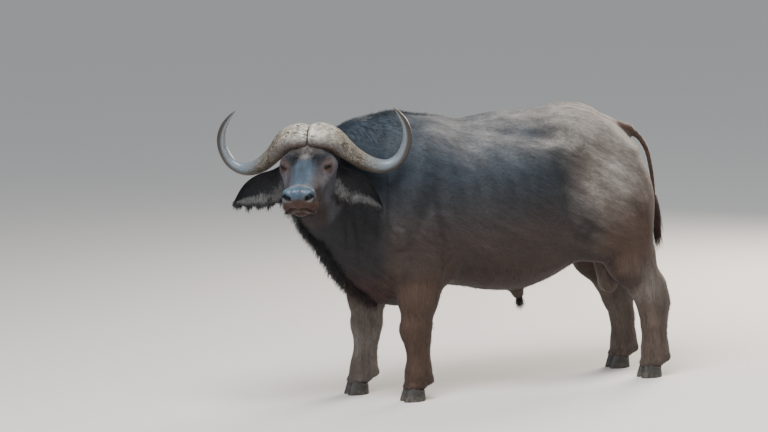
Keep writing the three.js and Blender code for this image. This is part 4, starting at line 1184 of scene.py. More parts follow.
coatColours = {  # base colours, and those that the markings mix over them, in this order
    "base": (0.014, 0.0155, 0.0185), "warm": (0.043, 0.0245, 0.0165), "dustAndPaintedLight": (0.165, 0.150, 0.138),
    "slate": (0.033, 0.065, 0.102), "brown": (0.041, 0.0175, 0.0115), "pink": (0.110, 0.062, 0.052),
    "pale": (0.30, 0.285, 0.265), "dark": (0.0045, 0.0045, 0.006),
}


def coatColourGroup():
    # The base colour with each marking mixed over it, lighter and darker by the coat's streaks and hairs.
    order = [name for name in coatColours if name != "base"]
    inputs = {name: ("Float", 0.0) for name in order}
    inputs.update({"Streaks": ("Float", 0.5), "Hairs": ("Float", 0.5)})
    group, start, end = newGroup("coat_colour", inputs, {"Color": "Color"})
    colour = add(group, "RGB").outputs[0]
    colour.default_value = (*coatColours["base"], 1)
    contrast = mapped(group, start.outputs["Streaks"], 0.3, 0.7, 0.76, 1.22)
    for name in order:
        share = start.outputs[name]
        if name in ("dustAndPaintedLight", "pale"):
            share = times(group, share, contrast, True)
        colour = mixColour(group, share, colour, coatColours[name])
    shade = mapped(group, start.outputs["Streaks"], 0.3, 0.7, 0.74, 1.30)
    hairs = mapped(group, start.outputs["Hairs"], 0.32, 0.68, 0.74, 1.28)
    feed(group, end, {"Color": scaled(group, colour, times(group, shade, hairs))})
    return group


furLie, coatColour = furLieGroup(), coatColourGroup()
coatFinish = {"Sheen Weight": 0.05, "Sheen Roughness": 0.42, "Sheen Tint": (0.62, 0.76, 0.92, 1),
              "Specular IOR Level": 0.24}


def coatNodes(tree, where):  # the hairs and the colour that the hide and every tuft share
    lie = add(tree, "Group", node_tree=furLie)
    feed(tree, lie, {"Place": where, "Legs": attribute(tree, "legs"), "Face": attribute(tree, "face")})
    colour = add(tree, "Group", node_tree=coatColour)
    feed(tree, colour, {name: attribute(tree, name) for name in coatColours if name != "base"})
    feed(tree, colour, {label: lie.outputs[label] for label in ("Streaks", "Hairs")})
    return lie.outputs["Hairs"], colour.outputs["Color"]


hideLook = {"rough": 0.62, "bareRough": 0.40, "wetter": 0.14, "dustier": 0.25,
            "pebbles": 290.0, "pebbled": -0.13, "bump": (0.005, 0.7)}
hairLook = {"lighter": 0.35, "rough": 0.58, "tipSmoother": 0.1, "bump": (0.002, 0.4)}


def hideMaterial():
    # The coat's colours over short hair: pebbled where bare, rougher with dust and smoother where wet.
    material, tree, shader = newMaterial("hide")
    look, where = hideLook, onPiece(tree)
    hairs, colour = coatNodes(tree, where)
    bare = attribute(tree, "bare")
    pebbles = add(tree, "TexVoronoi", {"Vector": where, "Scale": look["pebbles"], "Smoothness": 0.4},
                  feature="SMOOTH_F1").outputs["Distance"]
    height = mixValue(tree, bare, hairs, times(tree, pebbles, look["pebbled"]))
    wet = times(tree, attribute(tree, "wet"), look["wetter"])
    dustAndPaintedLight = times(tree, attribute(tree, "dustAndPaintedLight"), look["dustier"])
    rough = mathNode(tree, "SUBTRACT", mixValue(tree, bare, look["rough"], look["bareRough"]), wet)
    feed(tree, shader, {"Base Color": colour, "Roughness": plus(tree, rough, dustAndPaintedLight, True),
                        "Normal": bumped(tree, height, *look["bump"]), **coatFinish})
    return material


def hairMaterial():  # the coat's own colours on its tufts, lighter towards their tips
    material, tree, shader = newMaterial("coat_hair")
    look = hairLook
    hairs, colour = coatNodes(tree, onPiece(tree))
    tip = attribute(tree, "tip")
    # shade: each tuft's own brightness, on the coat's tufts partly painted light against their own shadow
    factor = plus(tree, times(tree, tip, look["lighter"]), attribute(tree, "shade"))
    rough = mathNode(tree, "SUBTRACT", look["rough"], times(tree, tip, look["tipSmoother"]))
    feed(tree, shader, {"Base Color": scaled(tree, colour, factor), "Roughness": rough,
                        "Normal": bumped(tree, hairs, *look["bump"]), **coatFinish})
    return material


def faceShare(points, near=0.27, far=0.33):  # 1 on the head, 0 behind it
    return 1 - ramp(length(toHead(points) - headMiddle), near, far)


def lieShares(points):  # how far the coat lies as on the legs, and as on the face
    return {"legs": 1 - ramp(points[:, 2], 0.62, 0.86), "face": faceShare(points)}


def wetShare(points, marks):  # the front of the bare muzzle, but not the ears and the tail
    x, _, z = (toHead(points) / mm).T
    return ramp(x, 262, 290) * ramp(z, -30, 0) * (np.arange(len(points)) < skinCount) * marks[:, mark["bare"]]


fleshNodes = ["torso", "neck", "head", "ear_left", "ear_right", "foreleg_left", "foreleg_right",
              "hindleg_left", "hindleg_right", "scrotum", "sheath", "tail_upper"]
skinNumbers = {name: skinMarks[:, mark[name]] for name in markNames}
skinNumbers.update(lieShares(skinPoints), wet=wetShare(skinPoints, skinMarks))
addPiece("skin", outward(skinPoints, skinQuads, skinTris), hideMaterial(), fleshNodes, skinNumbers)

# The under colours darken the lower side of the boss and of the smooth horn as painted shade
hornColours = {
    "dome": (0.50, 0.485, 0.43), "hollow": (0.20, 0.175, 0.135), "fleck": (0.165, 0.142, 0.105),
    "crack": (0.026, 0.019, 0.012), "under": (0.085, 0.06, 0.04), "pit": (0.035, 0.026, 0.02),
    "stem": (0.105, 0.130, 0.155), "tip": (0.27, 0.285, 0.29), "stemUnderShade": (0.026, 0.018, 0.013),
    "edge": (0.105, 0.068, 0.052), "edgeCrack": (0.030, 0.017, 0.012),
}


def hornMaterialOf():
    # Pale bark with dark pits on the boss, tan and flecked further out, with a brown band at its front edge.
    # Past it smooth grey horn with pale tips, and all of it has painted shade on its lower side.
    material, tree, shader = newMaterial("horn_grey")
    look, where = hornColours, onPiece(tree)
    bark, pits, out, band, upper = (attribute(tree, name) for name in hornMasks)
    fine = grains(tree, where, 210.0, 3.0)
    blotched = mapped(tree, grains(tree, where, 26.0, 5.0, 0.65), 0.36, 0.62)
    flecks = mapped(tree, grains(tree, where, 95.0, 4.0, 0.7), 0.42, 0.6)
    # low: painted shade on the horn's lower side, over the boss and the smooth horn
    low = mapped(tree, upper, 0.66, 0.38)
    boss = mixColour(tree, blotched, look["hollow"], look["dome"])
    further = times(tree, mapped(tree, out, 0.04, 0.17), 0.9)
    boss = mixColour(tree, further, boss, mixColour(tree, flecks, look["crack"], look["fleck"]))
    boss = mixColour(tree, times(tree, low, 0.75), boss, look["under"])
    boss = mixColour(tree, pits, boss, look["pit"])
    smooth = mixColour(tree, mapped(tree, out, 0.55, 1.15), look["stem"], look["tip"])
    smooth = mixColour(tree, times(tree, low, 0.95), smooth, look["stemUnderShade"])
    colour = mixColour(tree, bark, smooth, boss)
    edge = mixColour(tree, flecks, look["edgeCrack"], look["edge"])
    colour = mixColour(tree, times(tree, band, 0.95), colour, edge)
    height = times(tree, fine, plus(tree, times(tree, bark, 0.9), 0.1))
    feed(tree, shader, {"Base Color": scaled(tree, colour, mapped(tree, fine, 0.3, 0.7, 0.78, 1.2)),
                        "Roughness": mixValue(tree, bark, 0.40, 0.80),
                        "Normal": bumped(tree, height, 0.003, 0.6)})
    return material


hornMaterial = hornMaterialOf()
for name, side in (("left", 1), ("right", -1)):
    shape, masks = hornGrid(name, side)
    numbers = dict(zip(hornMasks, masks.T))
    addPiece("horn_" + name + "_shell", outward(*shape), hornMaterial, ["horn_" + name], numbers)

eyeColours = {"iris": (0.034, 0.016, 0.008), "irisDark": (0.010, 0.0045, 0.003), "white": (0.05, 0.034, 0.028),
              "whiteDark": (0.022, 0.013, 0.010), "pupil": (0.004, 0.004, 0.005)}
eyeFinish = {"Roughness": 0.06, "Coat Weight": 0.2, "Coat Roughness": 0.03, "Specular IOR Level": 0.12}


def eyeMaterialOf():
    # Dark brown iris with a level black pupil, a dusky white round it, all under a wet coat.
    material, tree, shader = newMaterial("wet_eye")
    look = eyeColours
    across, over, angle = (attribute(tree, name) for name in ("across", "over", "angle"))
    wide, high = (mathNode(tree, "POWER", mathNode(tree, "DIVIDE", value, half), 2.0)
                  for value, half in zip((across, over), eyeLook["pupil"]))
    pupil = mapped(tree, plus(tree, wide, high), 1.15, 0.85)
    iris = mapped(tree, angle, eyeLook["iris"] + 0.04, eyeLook["iris"] - 0.04)
    fibres = grains(tree, onPiece(tree), 420.0, 2.0)
    white = mixColour(tree, fibres, look["whiteDark"], look["white"])
    colour = mixColour(tree, iris, white, mixColour(tree, fibres, look["irisDark"], look["iris"]))
    feed(tree, shader, {"Base Color": mixColour(tree, pupil, colour, look["pupil"]), **eyeFinish})
    return material


eyeMaterial = eyeMaterialOf()
for name, side in (("left", 1), ("right", -1)):
    shape, numbers = eyeGrid(side)
    addPiece("eyeball_" + name, outward(*shape), eyeMaterial, ["eye_" + name], numbers)
print("horns and eyes made")

# Tufts of hair: a three-sided blade from its root to its tip, bent towards one side

bladeLook = {"shares": (0.0, 0.34, 0.7), "widths": (0.7, 1.0, 0.62), "flat": 0.4, "rooted": 1.5, "points": 10}


def blades(root, way, out, size, bend):
    # Rings at three shares t, and the tip's point: centre = root + way * long * t + bend * t * t.
    long, wide, thick = size.T[:, :, None]
    across = unit(np.cross(way, out))
    out = np.cross(across, way)
    t, w = np.repeat(bladeLook["shares"], 3), np.repeat(bladeLook["widths"], 3)
    spin = np.tile(np.arange(3) * 2 * math.pi / 3 + 0.5, 3)
    points = (root[:, None] + way[:, None] * (long * t)[..., None] + bend[:, None] * (t * t)[None, :, None]
              + across[:, None] * (wide / 2 * w * np.cos(spin))[..., None]
              + out[:, None] * (thick / 2 * w * np.sin(spin))[..., None])
    points = np.concatenate([points, (root + way * long + bend)[:, None]], 1)
    k, j = np.arange(3), (np.arange(3) + 1) % 3
    walls = np.concatenate([np.stack([k + r, j + r, j + r + 3, k + r + 3], -1) for r in (0, 3)])
    ends = np.vstack([[[0, 2, 1]], np.stack([k + 6, j + 6, np.full(3, 9)], -1)])
    base = (np.arange(len(root)) * bladeLook["points"])[:, None, None]
    patch = np.stack([np.concatenate([np.tile(k, 3) / 3, [0.5]]), np.concatenate([t, [1.0]])], -1)
    return (points.reshape(-1, 3), (walls + base).reshape(-1, 4), (ends + base).reshape(-1, 3)), patch


def bakePlace(points):
    # The skin unrolled in charts, three to a row: the angle round a part's middle line and the place along it.
    forward, left, up = places(points)
    head = toHead(points) / mm
    inHead = (length(head - headMiddle / mm) < 300) & (forward > 1120)
    hind, right = forward < 200, left < 0
    chart = np.where(up < 640, 2 + 2 * hind + right, np.where(inHead, 1, 0))
    # The charts' middles: the trunk, the head, then the fore and hind legs, each time the left one first
    middle = np.array([[0, 1050], [0, 0], [850, 185], [940, -172], [-580, 192], [-570, -192]])[chart]
    turned = np.arctan2(left - middle[:, 1], forward - middle[:, 0])
    turned = np.where(chart == 0, np.arctan2(left, up - 1050), turned)
    turned = np.where(chart == 1, np.arctan2(head[:, 1], head[:, 2] + 60), turned)
    run = np.where(chart == 0, (forward + 760) / 2200, np.clip(up / 660, 0, 1))
    run = np.where(chart == 1, (head[:, 0] + 260) / 640, run)
    inChart = np.stack([0.03 + 0.94 * (turned / (2 * math.pi) + 0.5), 0.03 + 0.93 * np.clip(run, 0, 1)], -1)
    corner = np.stack([chart % 3, chart // 3], -1)
    return (corner + inChart) / 3 * 0.995


def hairPiece(name, root, way, out, size, bend, marks, shade, replaced=()):
    # One blade for each root, with the root's markings and a small patch at the root's place in OFBake.
    each = bladeLook["points"]
    root = root - out * bladeLook["rooted"] * mm
    shape, patch = blades(root, way, out, size * mm, bend * mm)
    numbers = {label: np.repeat(marks[:, k], each) for k, label in enumerate(markNames)}
    numbers.update({label: np.repeat(values, each) for label, values in lieShares(root).items()})
    numbers.update(tip=np.tile(patch[:, 1], len(root)), shade=np.repeat(shade, each))
    piece = addPiece(name, shape, coatHair, replaced, numbers)
    spots = np.repeat(bakePlace(root), each, axis=0) + np.tile(patch, (len(root), 1)) * 0.003
    corners = np.concatenate([shape[1].ravel(), shape[2].ravel()])
    piece.data.uv_layers.new(name="OFBake").data.foreach_set("uv", spots[corners].astype(np.float32).ravel())


# Where hair grows: random places on the skin, more where the density is higher

fourCorners = skinQuads[(skinQuads < bodyCount).all(1)]
skinOut = normalsOf(skinPoints, skinQuads, skinTris)


def roots(density, count):  # places, normals and markings of that many random points, weighed by the density
    spans = skinPoints[fourCorners[:, 2]] - skinPoints[fourCorners[:, 0]]
    others = skinPoints[fourCorners[:, 3]] - skinPoints[fourCorners[:, 1]]
    weight = length(np.cross(spans, others)) * density[fourCorners].mean(1)
    sums = np.cumsum(weight)
    face = np.minimum(np.searchsorted(sums, rng.random(count) * sums[-1]), len(sums) - 1)
    u, v = rng.random(count)[:, None], rng.random(count)[:, None]
    a, b, c, d = (fourCorners[face, k] for k in range(4))
    spot, normal, marks = (mix(mix(values[a], values[b], u), mix(values[d], values[c], u), v)
                           for values in (skinPoints, skinOut, skinMarks))
    return spot, unit(normal), marks


def lieOf(points, normals):
    # Along the skin: back and down on the trunk, down on the legs and neck, to the nose on the face.
    forward, _, up = places(points)
    back, down = np.array([1.0, 0, -0.5]), np.array([0.12, 0, -1.0])
    legs = (1 - ramp(up, 560, 820))[:, None]
    neck = (ramp(forward, 860, 1010) * (1 - ramp(normals[:, 2], 0.5, 0.95)))[:, None]
    way = mix(mix(back, down, legs), down, neck * 0.8)
    inHead = faceShare(points, 0.26, 0.34)[:, None]
    way = mix(way, headAxes[0] * 0.9 + np.array([0, 0, -0.35]), inHead)
    swirl = noises(points, 0.21, (91, 92, 93))
    way = way + swirl * mix(0.4, 0.16, np.maximum(neck, inHead)) + rng.normal(0, 0.1, points.shape)
    return unit(within(way, normals))


def coatDensity(points, normals):
    # Thick where the coat stands out against what is behind it: back, crest, belly and the backs of the legs.
    forward, left, up = places(points)
    facing = normals[:, 2]
    back = hill((left, 90)) * (facing > 0.3)
    crest = ramp(forward, 700, 900) * ramp(facing, 0.2, 0.8)
    legsBack = (normals[:, 0] > 0.4) * (up < 700)
    under = (facing < -0.3) * (up < 1000)
    density = 1 + 1.6 * back + 1.6 * crest + 1.0 * legsBack + 0.9 * under
    behindHead = length(toHead(points) - headMiddle) >= 0.3
    return density * behindHead * (up > 95)  # none on the hooves either


coatHair = hairMaterial()


def layCoat():
    # Short tufts along the lie of the coat, raised by their lift and drawn back to the skin by their curl.
    # shade: each tuft's brightness, drawn above 1 as painted light that offsets the blades' own shadow
    look = {"pieces": 4, "count": 11000, "long": (15, 28), "wide": (1.4, 2.8), "lift": (0.03, 0.16),
            "curl": 0.45, "stray": 0.8, "shade": (0.95, 1.45)}
    density = coatDensity(skinPoints, skinOut)
    count = look["count"]
    for k in range(look["pieces"]):
        spot, normal, marks = roots(density, count)
        forward, _, up = places(spot)
        lie = lieOf(spot, normal)
        crest = ramp(forward, 650, 950) * ramp(normal[:, 2], 0.1, 0.8) * ramp(up, 1200, 1400)
        long = rng.uniform(*look["long"], count) * (1 + 0.7 * crest) * mix(0.8, 1, ramp(up, 300, 700))
        lift = rng.uniform(*look["lift"], count) + 0.15 * crest
        way = unit(lie + normal * lift[:, None])
        bend = -normal * (long * lift * look["curl"])[:, None] + rng.normal(0, look["stray"], (count, 3))
        wide = rng.uniform(*look["wide"], count)
        size = np.stack([long, wide, wide * bladeLook["flat"]], -1)
        shade = rng.uniform(*look["shade"], count)
        hairPiece(f"coat_{k + 1}", spot, way, normal, size, bend, marks, shade)


layCoat()
print("coat laid")


def laid(name, spot, way, out, marks, look, replaced=()):
    # Tufts of one kind, their sizes drawn between limits, raised by lift, drawn back by curl and down by hang.
    count = len(spot)
    long, wide, lift = (rng.uniform(*look[key], count) for key in ("long", "wide", "lift"))
    long = long * look.get("share", 1)
    way = unit(way + out * lift[:, None] + rng.normal(0, look["stray"], (count, 3)))
    hang = np.array([0, 0, -1.0]) * look.get("hang", 0)
    bend = -out * (long * lift * look["curl"])[:, None] + hang * long[:, None]
    bend = bend + rng.normal(0, 0.35 * look["stray"], (count, 3)) * long[:, None]
    size = np.stack([long, wide, wide * bladeLook["flat"]], -1)
    hairPiece(name, spot, way, out, size, bend, marks, rng.uniform(*look["shade"], count), replaced)


def neckMiddle(forward):  # how far to the left the neck's middle lies
    return np.interp(forward, [700, 1080, 1310], [0, 25, 150])


def headPlaces(points):
    x, y, z = (toHead(points) / mm).T
    return x, np.abs(y), z


def layFace():
    # Fine short hair over the face, thicker on the brows and behind the jaw, none on the bare muzzle.
    look = {"count": 9000, "long": (6, 12), "wide": (1.1, 1.9), "lift": (0.05, 0.22),
            "curl": 0.5, "stray": 0.16, "shade": (0.75, 1.2)}
    x, y, z = headPlaces(skinPoints)
    brow = hill((x + 62, 44), (y - 80, 44)) * (z > -20)
    density = faceShare(skinPoints) * (1 - ramp(x, 215, 250)) * (0.45 + 1.6 * brow + 0.6 * (z < -60))
    spot, normal, marks = roots(density, look["count"])
    laid("face_hair", spot, lieOf(spot, normal), normal, marks, look)


def layForelock():
    # Longer hair that leaves the edge of the boss and lies down the forehead, whitish in the middle.
    look = {"count": 5200, "long": (10, 24), "wide": (1.1, 2.1), "lift": (0.12, 0.42),
            "curl": 0.8, "stray": 0.24, "shade": (0.8, 1.7)}
    x, y, z = headPlaces(skinPoints)
    density = ramp(-x, 6, 60) * (1 - ramp(-x, 95, 120)) * (1 - ramp(y, 80, 118)) * (z > 15)
    density = density + 1.2 * hill((x + 18, 24), (y, 22)) * (z > 15)
    spot, normal, marks = roots(density, look["count"])
    local = toHead(spot)
    away = np.stack([np.full(len(spot), 1.0), 6 * local[:, 1], np.zeros(len(spot))], -1) @ headAxes
    middle = hill((local[:, 0] / mm + 14, 31), (local[:, 1] / mm, 31))
    marks[:, mark["dark"]] *= 0.5 * (1 - middle)
    marks[:, mark["pale"]] += (0.12 + 0.75 * middle) * rng.random(len(spot)) ** 1.5
    laid("forelock", spot, away, normal, marks, look)


def layThroat():
    # A short dark fringe along the underside of the neck, from the jaw to the breast.
    look = {"count": 3400, "long": (26, 58), "wide": (2.0, 3.6), "lift": (0.5, 1.1),
            "curl": 0.15, "stray": 0.2, "shade": (0.6, 1.15), "hang": 0.3}
    forward, left, up = places(skinPoints)
    density = bump(left, neckMiddle(forward), 75) * ramp(-skinOut[:, 2], 0.1, 0.6)
    density = density * ramp(forward, 930, 1020) * (up > 500)
    spot, normal, marks = roots(density, look["count"])
    way = np.tile([[-0.15, 0, -1.0]], (len(spot), 1))
    laid("throat_fringe", spot, way, normal, marks, look)


def layUnderHair():
    # Longer hair along the belly, the backs of the legs and round the hooves' upper rims.
    look = {"count": 6000, "long": (16, 34), "wide": (1.8, 3.2), "lift": (0.15, 0.5),
            "curl": 0.4, "stray": 0.18, "shade": (0.65, 1.15)}
    forward, _, up = places(skinPoints)
    belly = (skinOut[:, 2] < -0.55) * (up > 480) * (up < 760) * (forward < 1050)
    backs = ramp(skinOut[:, 0], 0.3, 0.8) * (up < 640) * (up > 110)
    rims = bump(up, 92, 34)
    breast = ramp(-skinOut[:, 0], 0.3, 0.8) * (forward > 880) * (up < 900) * (up > 480)
    spot, normal, marks = roots(0.35 * belly + 0.9 * backs + 3.0 * rims + 0.5 * breast, look["count"])
    look["share"] = mix(0.62, 1, ramp(spot[:, 2], 0.1, 0.3))
    laid("under_hair", spot, lieOf(spot, normal), normal, marks, look)


def layCrest():
    # Upright short hair along the top of the neck, with a pale whorl behind the boss.
    look = {"count": 2600, "long": (18, 42), "wide": (1.6, 3.0), "lift": (0.35, 0.95),
            "curl": 0.35, "stray": 0.25, "shade": (0.8, 1.4)}
    forward, left, _ = places(skinPoints)
    density = bump(left, neckMiddle(forward), 60) * (skinOut[:, 2] > 0.3) * ramp(forward, 560, 720)
    density = density * (1 - faceShare(skinPoints))
    spot, normal, marks = roots(density, look["count"])
    whorl = hill((places(spot)[0] - 1010, 46))
    marks[:, mark["dark"]] *= 1 - whorl
    marks[:, mark["dustAndPaintedLight"]] = np.maximum(marks[:, mark["dustAndPaintedLight"]], 0.9 * whorl)
    laid("crest_hair", spot, lieOf(spot, normal), normal, marks, look)


def earSpots(name, side, u, v):
    # Places on the cupped side of an ear, half its thickness from the leaf, and its three directions.
    edges = earLook[name]
    here = earPoint(edges, u, v)
    across = unit(earPoint(edges, u, np.minimum(v + 0.02, 1.0)) - earPoint(edges, u, np.minimum(v, 0.98)))
    ahead = unit(earPoint(edges, np.minimum(u + 0.01, 1), v) - earPoint(edges, np.minimum(u, 0.99), v))
    inner = unit(np.cross(across, ahead))
    inner = inner * np.sign(inner[:, :1])
    here = here + inner * (earLook["thick"] / 2 * mm)
    here[:, 1] -= earLook["inTheHead"] * mm * (1 - wave(u / 0.16))
    flip = np.array([1, side, 1])
    return fromHead(here * flip), *((step * flip) @ headAxes for step in (across, ahead, inner))


def layEars():
    # Pale hair in three patches along the lower inside of each ear, and a ragged dark fringe below its edge.
    patches = {"count": 4200, "long": (16, 36), "wide": (1.0, 2.0), "lift": (0.08, 0.4),
               "curl": 0.7, "stray": 0.17, "shade": (0.6, 1.35)}
    fringe = {"count": 1700, "long": (22, 56), "wide": (1.5, 3.0), "lift": (-0.1, 0.2),
              "curl": 0.2, "stray": 0.17, "shade": (0.7, 1.15), "hang": 0.12}
    inside = {"count": 2600, "long": (10, 22), "wide": (1.2, 2.4), "lift": (0.08, 0.3),
              "curl": 0.4, "stray": 0.18, "shade": (0.6, 1.1)}
    # Each patch's middle and half length along the ear, and its place across it
    spots = np.array([[0.20, 0.085, 0.68], [0.53, 0.035, 0.66], [0.76, 0.07, 0.66]])

    def layOn(kind, u, v, lean, marks, look):  # hair that points across the ear, and ahead by its lean
        spot, across, ahead, out = earSpots(name, side, u, v)
        laid(kind + name, spot, lean[0] * across + lean[1] * ahead, out, marks, look)

    for name, side in (("left", 1), ("right", -1)):
        which = rng.choice(3, patches["count"], p=[0.56, 0.12, 0.32])
        u = np.clip(spots[which, 0] + spots[which, 1] * rng.normal(0, 1, len(which)), 0.05, 0.93)
        v = np.clip(spots[which, 2] + rng.normal(0, 0.14, len(u)), 0.1, 0.93)
        pale = evenMarks(len(u), pale=0.42, warm=0.4, slate=0.25) * rng.uniform(0.35, 1, len(u))[:, None]
        layOn("ear_patches_", u, v, (1, 0.4), pale, patches)
        u = rng.uniform(0.14, 1.0, fringe["count"]) ** 0.8
        v = rng.uniform(0.90, 1.0, len(u))
        clumps = noise(np.stack([u * 9, v * 0, u * 0 + side], -1), 0.35, 5)
        fringe["share"] = np.clip(0.75 + 0.5 * clumps, 0.3, 1.2)
        layOn("ear_fringe_", u, v, (1, 0.35), evenMarks(len(u), dark=0.6, warm=0.5), fringe)
        u = rng.uniform(0.06, 0.98, inside["count"])
        v = rng.uniform(-0.98, 0.6, len(u))
        layOn("ear_inside_", u, v, (0.5, 1), evenMarks(len(u), dark=0.94, warm=0.3), inside)


def strands(name, top, reach, spread, look, marks, replaced=()):
    # Roots wind round a slim core that hangs from the top: radius * (1 - 0.6 * t) at a share t of the reach.
    count = look["count"]
    t = rng.random(count) ** 1.3
    angle = rng.random(count) * 2 * math.pi
    out = np.stack([np.cos(angle), np.sin(angle), np.zeros(count)], -1)
    spot = top + out * (spread * (1 - 0.6 * t))[:, None] * mm + t[:, None] * np.array(reach) * mm
    laid(name, spot, np.tile([look["way"]], (count, 1)), out, evenMarks(count, **marks), look, replaced)


def layTail():
    # Long sparse strands round the end of the tail, dark brown.
    tail = {"count": 1500, "long": (110, 225), "wide": (1.8, 3.4), "lift": (0.02, 0.17),
            "curl": 0.9, "stray": 0.06, "shade": (0.7, 1.4), "way": (0.06, 0, -1.0)}
    top = at(*tailBones[-1][:3]) + np.array([0, 0, 0.045])
    strands("tail_hair", top, (8, 0, -125), 15, tail, {"warm": 0.9, "brown": 0.35}, ["tail_tuft"])
    sheath = {"count": 260, "long": (46, 92), "wide": (1.6, 2.6), "lift": (0.1, 0.35),
              "curl": 0.5, "stray": 0.12, "shade": (0.6, 1.1), "way": (0.1, 0, -1.0)}
    strands("sheath_hair", at(101, 0, 500), (0, 0, -14), 15, sheath, {"warm": 0.6, "dark": 0.4})


def layWhiskers():
    # Stiff single hairs on the lips and chin, and lashes along the upper lids.
    look = {"count": 420, "long": (14, 40), "wide": (0.7, 1.1), "lift": (0.5, 1.0),
            "curl": 0.3, "stray": 0.25, "shade": (0.5, 1.0), "hang": 0.25}
    x, _, z = headPlaces(skinPoints)
    spot, normal, _ = roots(ramp(x, 210, 260) * ramp(-z, 30, 60) * (1 - ramp(x, 320, 340)), look["count"])
    laid("whiskers", spot, np.tile(headAxes[:1], (len(spot), 1)), normal, evenMarks(len(spot), dark=0.6), look)
    lashes = {"count": 110, "long": (11, 18), "wide": (0.8, 1.2), "lift": (0.3, 0.7),
              "curl": 0.5, "stray": 0.12, "shade": (0.4, 0.8)}
    sides = lidLook["sides"]
    start = bodyCount
    for name, side, shape in zip(("left", "right"), (1, -1), lidShapes):
        pick = rng.uniform(0.06, 0.44, lashes["count"]) * sides
        ring = skinPoints[start + 3 * sides:start + 4 * sides]  # the lid's third ring
        k = pick.astype(int)
        spot = mix(ring[k], ring[(k + 1) % sides], (pick - k)[:, None])
        out = np.tile([gaze(side) @ headAxes], (len(spot), 1))
        start += len(shape[0])
        way = out + np.array([0, 0, -0.25])
        laid("lashes_" + name, spot, way, out, evenMarks(len(spot), dark=0.9), lashes)


for lay in (layFace, layForelock, layThroat, layUnderHair, layCrest, layEars, layTail, layWhiskers):
    lay()
print("hair laid")

# Hooves: two claws on each foot, flat below, with a sloping wall in front and rounded heels

hoofLook = {"wide": 58, "long": 128, "high": 78, "apart": 2, "ahead": 12, "rings": 58, "sides": 56, "sole": 7,
            "top": 7, "ridge": 0.13, "ridges": 5.5, "crack": 0.7}


def clawGrid(forward, left, side, salt):
    # At a share of the height the wall lies front * reach along the foot and out * half across it, where front
    # and out are the cosine and sine round the claw. It is squarer inside and tapers to the toe.
    look = hoofLook
    rings, sides = look["rings"], look["sides"]
    wall = rings - look["sole"] - look["top"]
    share = np.concatenate([np.zeros(look["sole"]), np.linspace(0, 1, wall), np.ones(look["top"])])
    inward = np.concatenate([(np.arange(look["sole"]) + 0.7) / look["sole"], np.ones(wall),
                             1 - (np.arange(look["top"]) + 0.5) / look["top"]])
    share, inward = np.repeat(share, sides), np.repeat(inward, sides)
    spin = around(rings, sides)[1]
    front, out = np.cos(spin), np.sin(spin)
    reach = np.where(front > 0, mix(0.56, 0.34, share), mix(0.44, 0.40, share)) * look["long"]
    half = look["wide"] / 2 * mix(1, 0.86, share) * np.where(out > 0, 1, 0.96)
    taper = 1 - 0.35 * np.maximum(0, front) ** 3
    high = look["high"] * share * mix(0.74, 1.06, (front + 1) / 2)
    square = np.where(out > 0, 1.0, 0.72)
    across = np.sign(out) * np.abs(out) ** square
    spot = np.stack([front * reach, across * half * taper, high], -1)
    sprawl = noise(spot, 22, salt)
    rim = np.sin(2 * math.pi * (high + 3.2 * sprawl) / look["ridges"]) * look["ridge"] * (1 + sprawl)
    seams = noise(np.stack([spin * 9, high * 0.06, high * 0 + salt], -1), 1.0, salt)
    cracks = -look["crack"] * wave((seams - 0.45) / 0.3)
    edge = -2.5 * (1 - wave(high / 5.0)) + 1.4 * bump(share, 0.93, 0.08)
    push = (rim + cracks) * wave(share / 0.05) * wave((1 - share) / 0.05) + edge + 0.7 * sprawl
    grown = 1 + push / (look["wide"] / 2)
    ahead = forward + front * reach * grown * inward
    toSide = left + side * (look["wide"] / 2 + look["apart"] + across * half * taper * grown * inward)
    sole = 1.6 * wave((1 - inward) / 0.5) * (share == 0)
    domed = 5.0 * (1 - inward ** 2) * (share == 1)
    spot = np.stack([shift[0] - ahead * mm, shift[1] - toSide * mm, (high + sole + domed) * mm], -1)
    worn = np.clip(1 - share * 2.2 + 0.35 * sprawl, 0, 1)
    marks = np.stack([worn, -cracks / look["crack"]], -1)
    return closedGrid(spot.reshape(rings, sides, 3)), np.vstack([marks, marks[:1], marks[-1:]])


hoofMasks = ("worn", "cracks")
hoofColours = {"ring": (0.030, 0.027, 0.024), "between": (0.011, 0.010, 0.009), "crack": (0.006, 0.005, 0.004),
               "earth": (0.13, 0.10, 0.078)}


def hoofMaterialOf():
    # Dark horn with lighter growth rings, scratched, and grey with dry earth towards the floor.
    material, tree, shader = newMaterial("hoof_dark")
    look, where = hoofColours, onPiece(tree)
    worn, cracks = (attribute(tree, name) for name in hoofMasks)
    level, upright = (add(tree, "Mapping", {"Vector": where, "Scale": scale}).outputs[0]
                      for scale in ((14, 14, 260), (330, 330, 30)))
    rings, scratches = grains(tree, level, 1.0, 3.0), grains(tree, upright, 1.0, 4.0)
    colour = mixColour(tree, mapped(tree, rings, 0.38, 0.62), look["between"], look["ring"])
    colour = mixColour(tree, times(tree, cracks, 0.8), colour, look["crack"])
    earth = mapped(tree, grains(tree, where, 60.0, 5.0, 0.65), 0.4, 0.62)
    earth = times(tree, earth, plus(tree, times(tree, worn, 0.75), 0.15))
    height = plus(tree, times(tree, scratches, 0.5), rings)
    feed(tree, shader, {"Base Color": mixColour(tree, earth, colour, look["earth"]),
                        "Roughness": mapped(tree, earth, 0.0, 1.0, 0.40, 0.85),
                        "Normal": bumped(tree, height, 0.001, 0.6)})
    return material


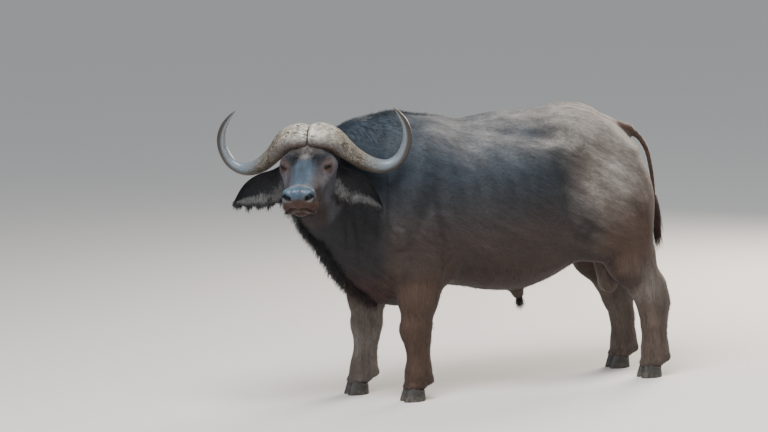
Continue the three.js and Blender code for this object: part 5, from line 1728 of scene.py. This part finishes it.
hoofMaterial = hoofMaterialOf()
for leg, bones in legBones.items():
    forward, left = bones[-1][0] + hoofLook["ahead"], bones[-1][1]
    for k, (label, side) in enumerate((("outer", np.sign(left)), ("inner", -np.sign(left)))):
        node = leg.replace("leg", "hoof") + "_" + label
        shape, marks = clawGrid(forward, left, side, len(leg) * 3 + k)
        addPiece("claw_" + node, outward(*shape), hoofMaterial, [node], dict(zip(hoofMasks, marks.T)))
print("hooves made")

# Floor, light and camera

def layFloor(half=400):
    material, tree, shader = newMaterial("pale_floor")
    feed(tree, shader, {"Base Color": (0.66, 0.65, 0.635, 1), "Roughness": 0.8})
    corners = np.array([[-half, -half, 0], [half, -half, 0], [half, half, 0], [-half, half, 0]], float)
    floor = inScene("floor", meshOf("floor", corners, np.array([[0, 1, 2, 3]]), np.zeros((0, 3), int)))
    floor.data.materials.append(material)


layFloor()

cameraLook = {"azimuth": -20.0, "elevation": 7.0, "away": 16.0, "roll": 2.0, "lens": 138.0,
              "target": np.array([shift[0] - 0.88, shift[1], 0.995])}


def turned(right, up, back, centre):  # the matrix of an object with those axes, at that place
    return Matrix([[right[k], up[k], back[k], centre[k]] for k in range(3)] + [[0, 0, 0, 1]])


def placeCamera(look):
    azimuth, rise, roll = (math.radians(look[key]) for key in ("azimuth", "elevation", "roll"))
    back = np.array([math.sin(azimuth) * math.cos(rise), -math.cos(azimuth) * math.cos(rise), math.sin(rise)])
    right = unit(np.cross(-back, [0, 0, 1]))
    up = np.cross(right, -back)
    right, up = right * math.cos(roll) - up * math.sin(roll), up * math.cos(roll) + right * math.sin(roll)
    data = bpy.data.cameras.new("camera")
    data.lens, data.sensor_width, data.clip_end = look["lens"], 36, 200
    camera = inScene("camera", data)
    camera.matrix_world = turned(right, up, back, look["target"] + back * look["away"])
    bpy.context.scene.camera = camera


placeCamera(cameraLook)


def softLight(name, centre, target, size, power, colour):
    data = bpy.data.lights.new(name, "AREA")
    data.shape = "RECTANGLE"
    data.size, data.size_y = size
    data.energy, data.color = power, colour
    back = unit(np.array(centre, float) - np.array(target, float))
    right = unit(np.cross([0, 0, 1], back))
    inScene(name, data).matrix_world = turned(right, np.cross(back, right), back, centre)


softLight("key", (-1.6, -2.6, 6.5), (0, 0, 0.9), (4, 3), 760, (1.0, 0.985, 0.96))
softLight("fill", (-7.0, -6.0, 2.6), (0, 0, 1.0), (4, 3), 190, (0.86, 0.93, 1.0))
softLight("rim", (5.0, 3.0, 3.6), (0, 0, 1.0), (3, 3), 620, (1.0, 0.86, 0.72))
world = bpy.data.worlds.new("studio")
bpy.context.scene.world = world
world.use_nodes = True
sky = {"Color": (0.86, 0.89, 0.93, 1), "Strength": 0.55}
feed(world.node_tree, world.node_tree.nodes["Background"], sky)
print("stage set")
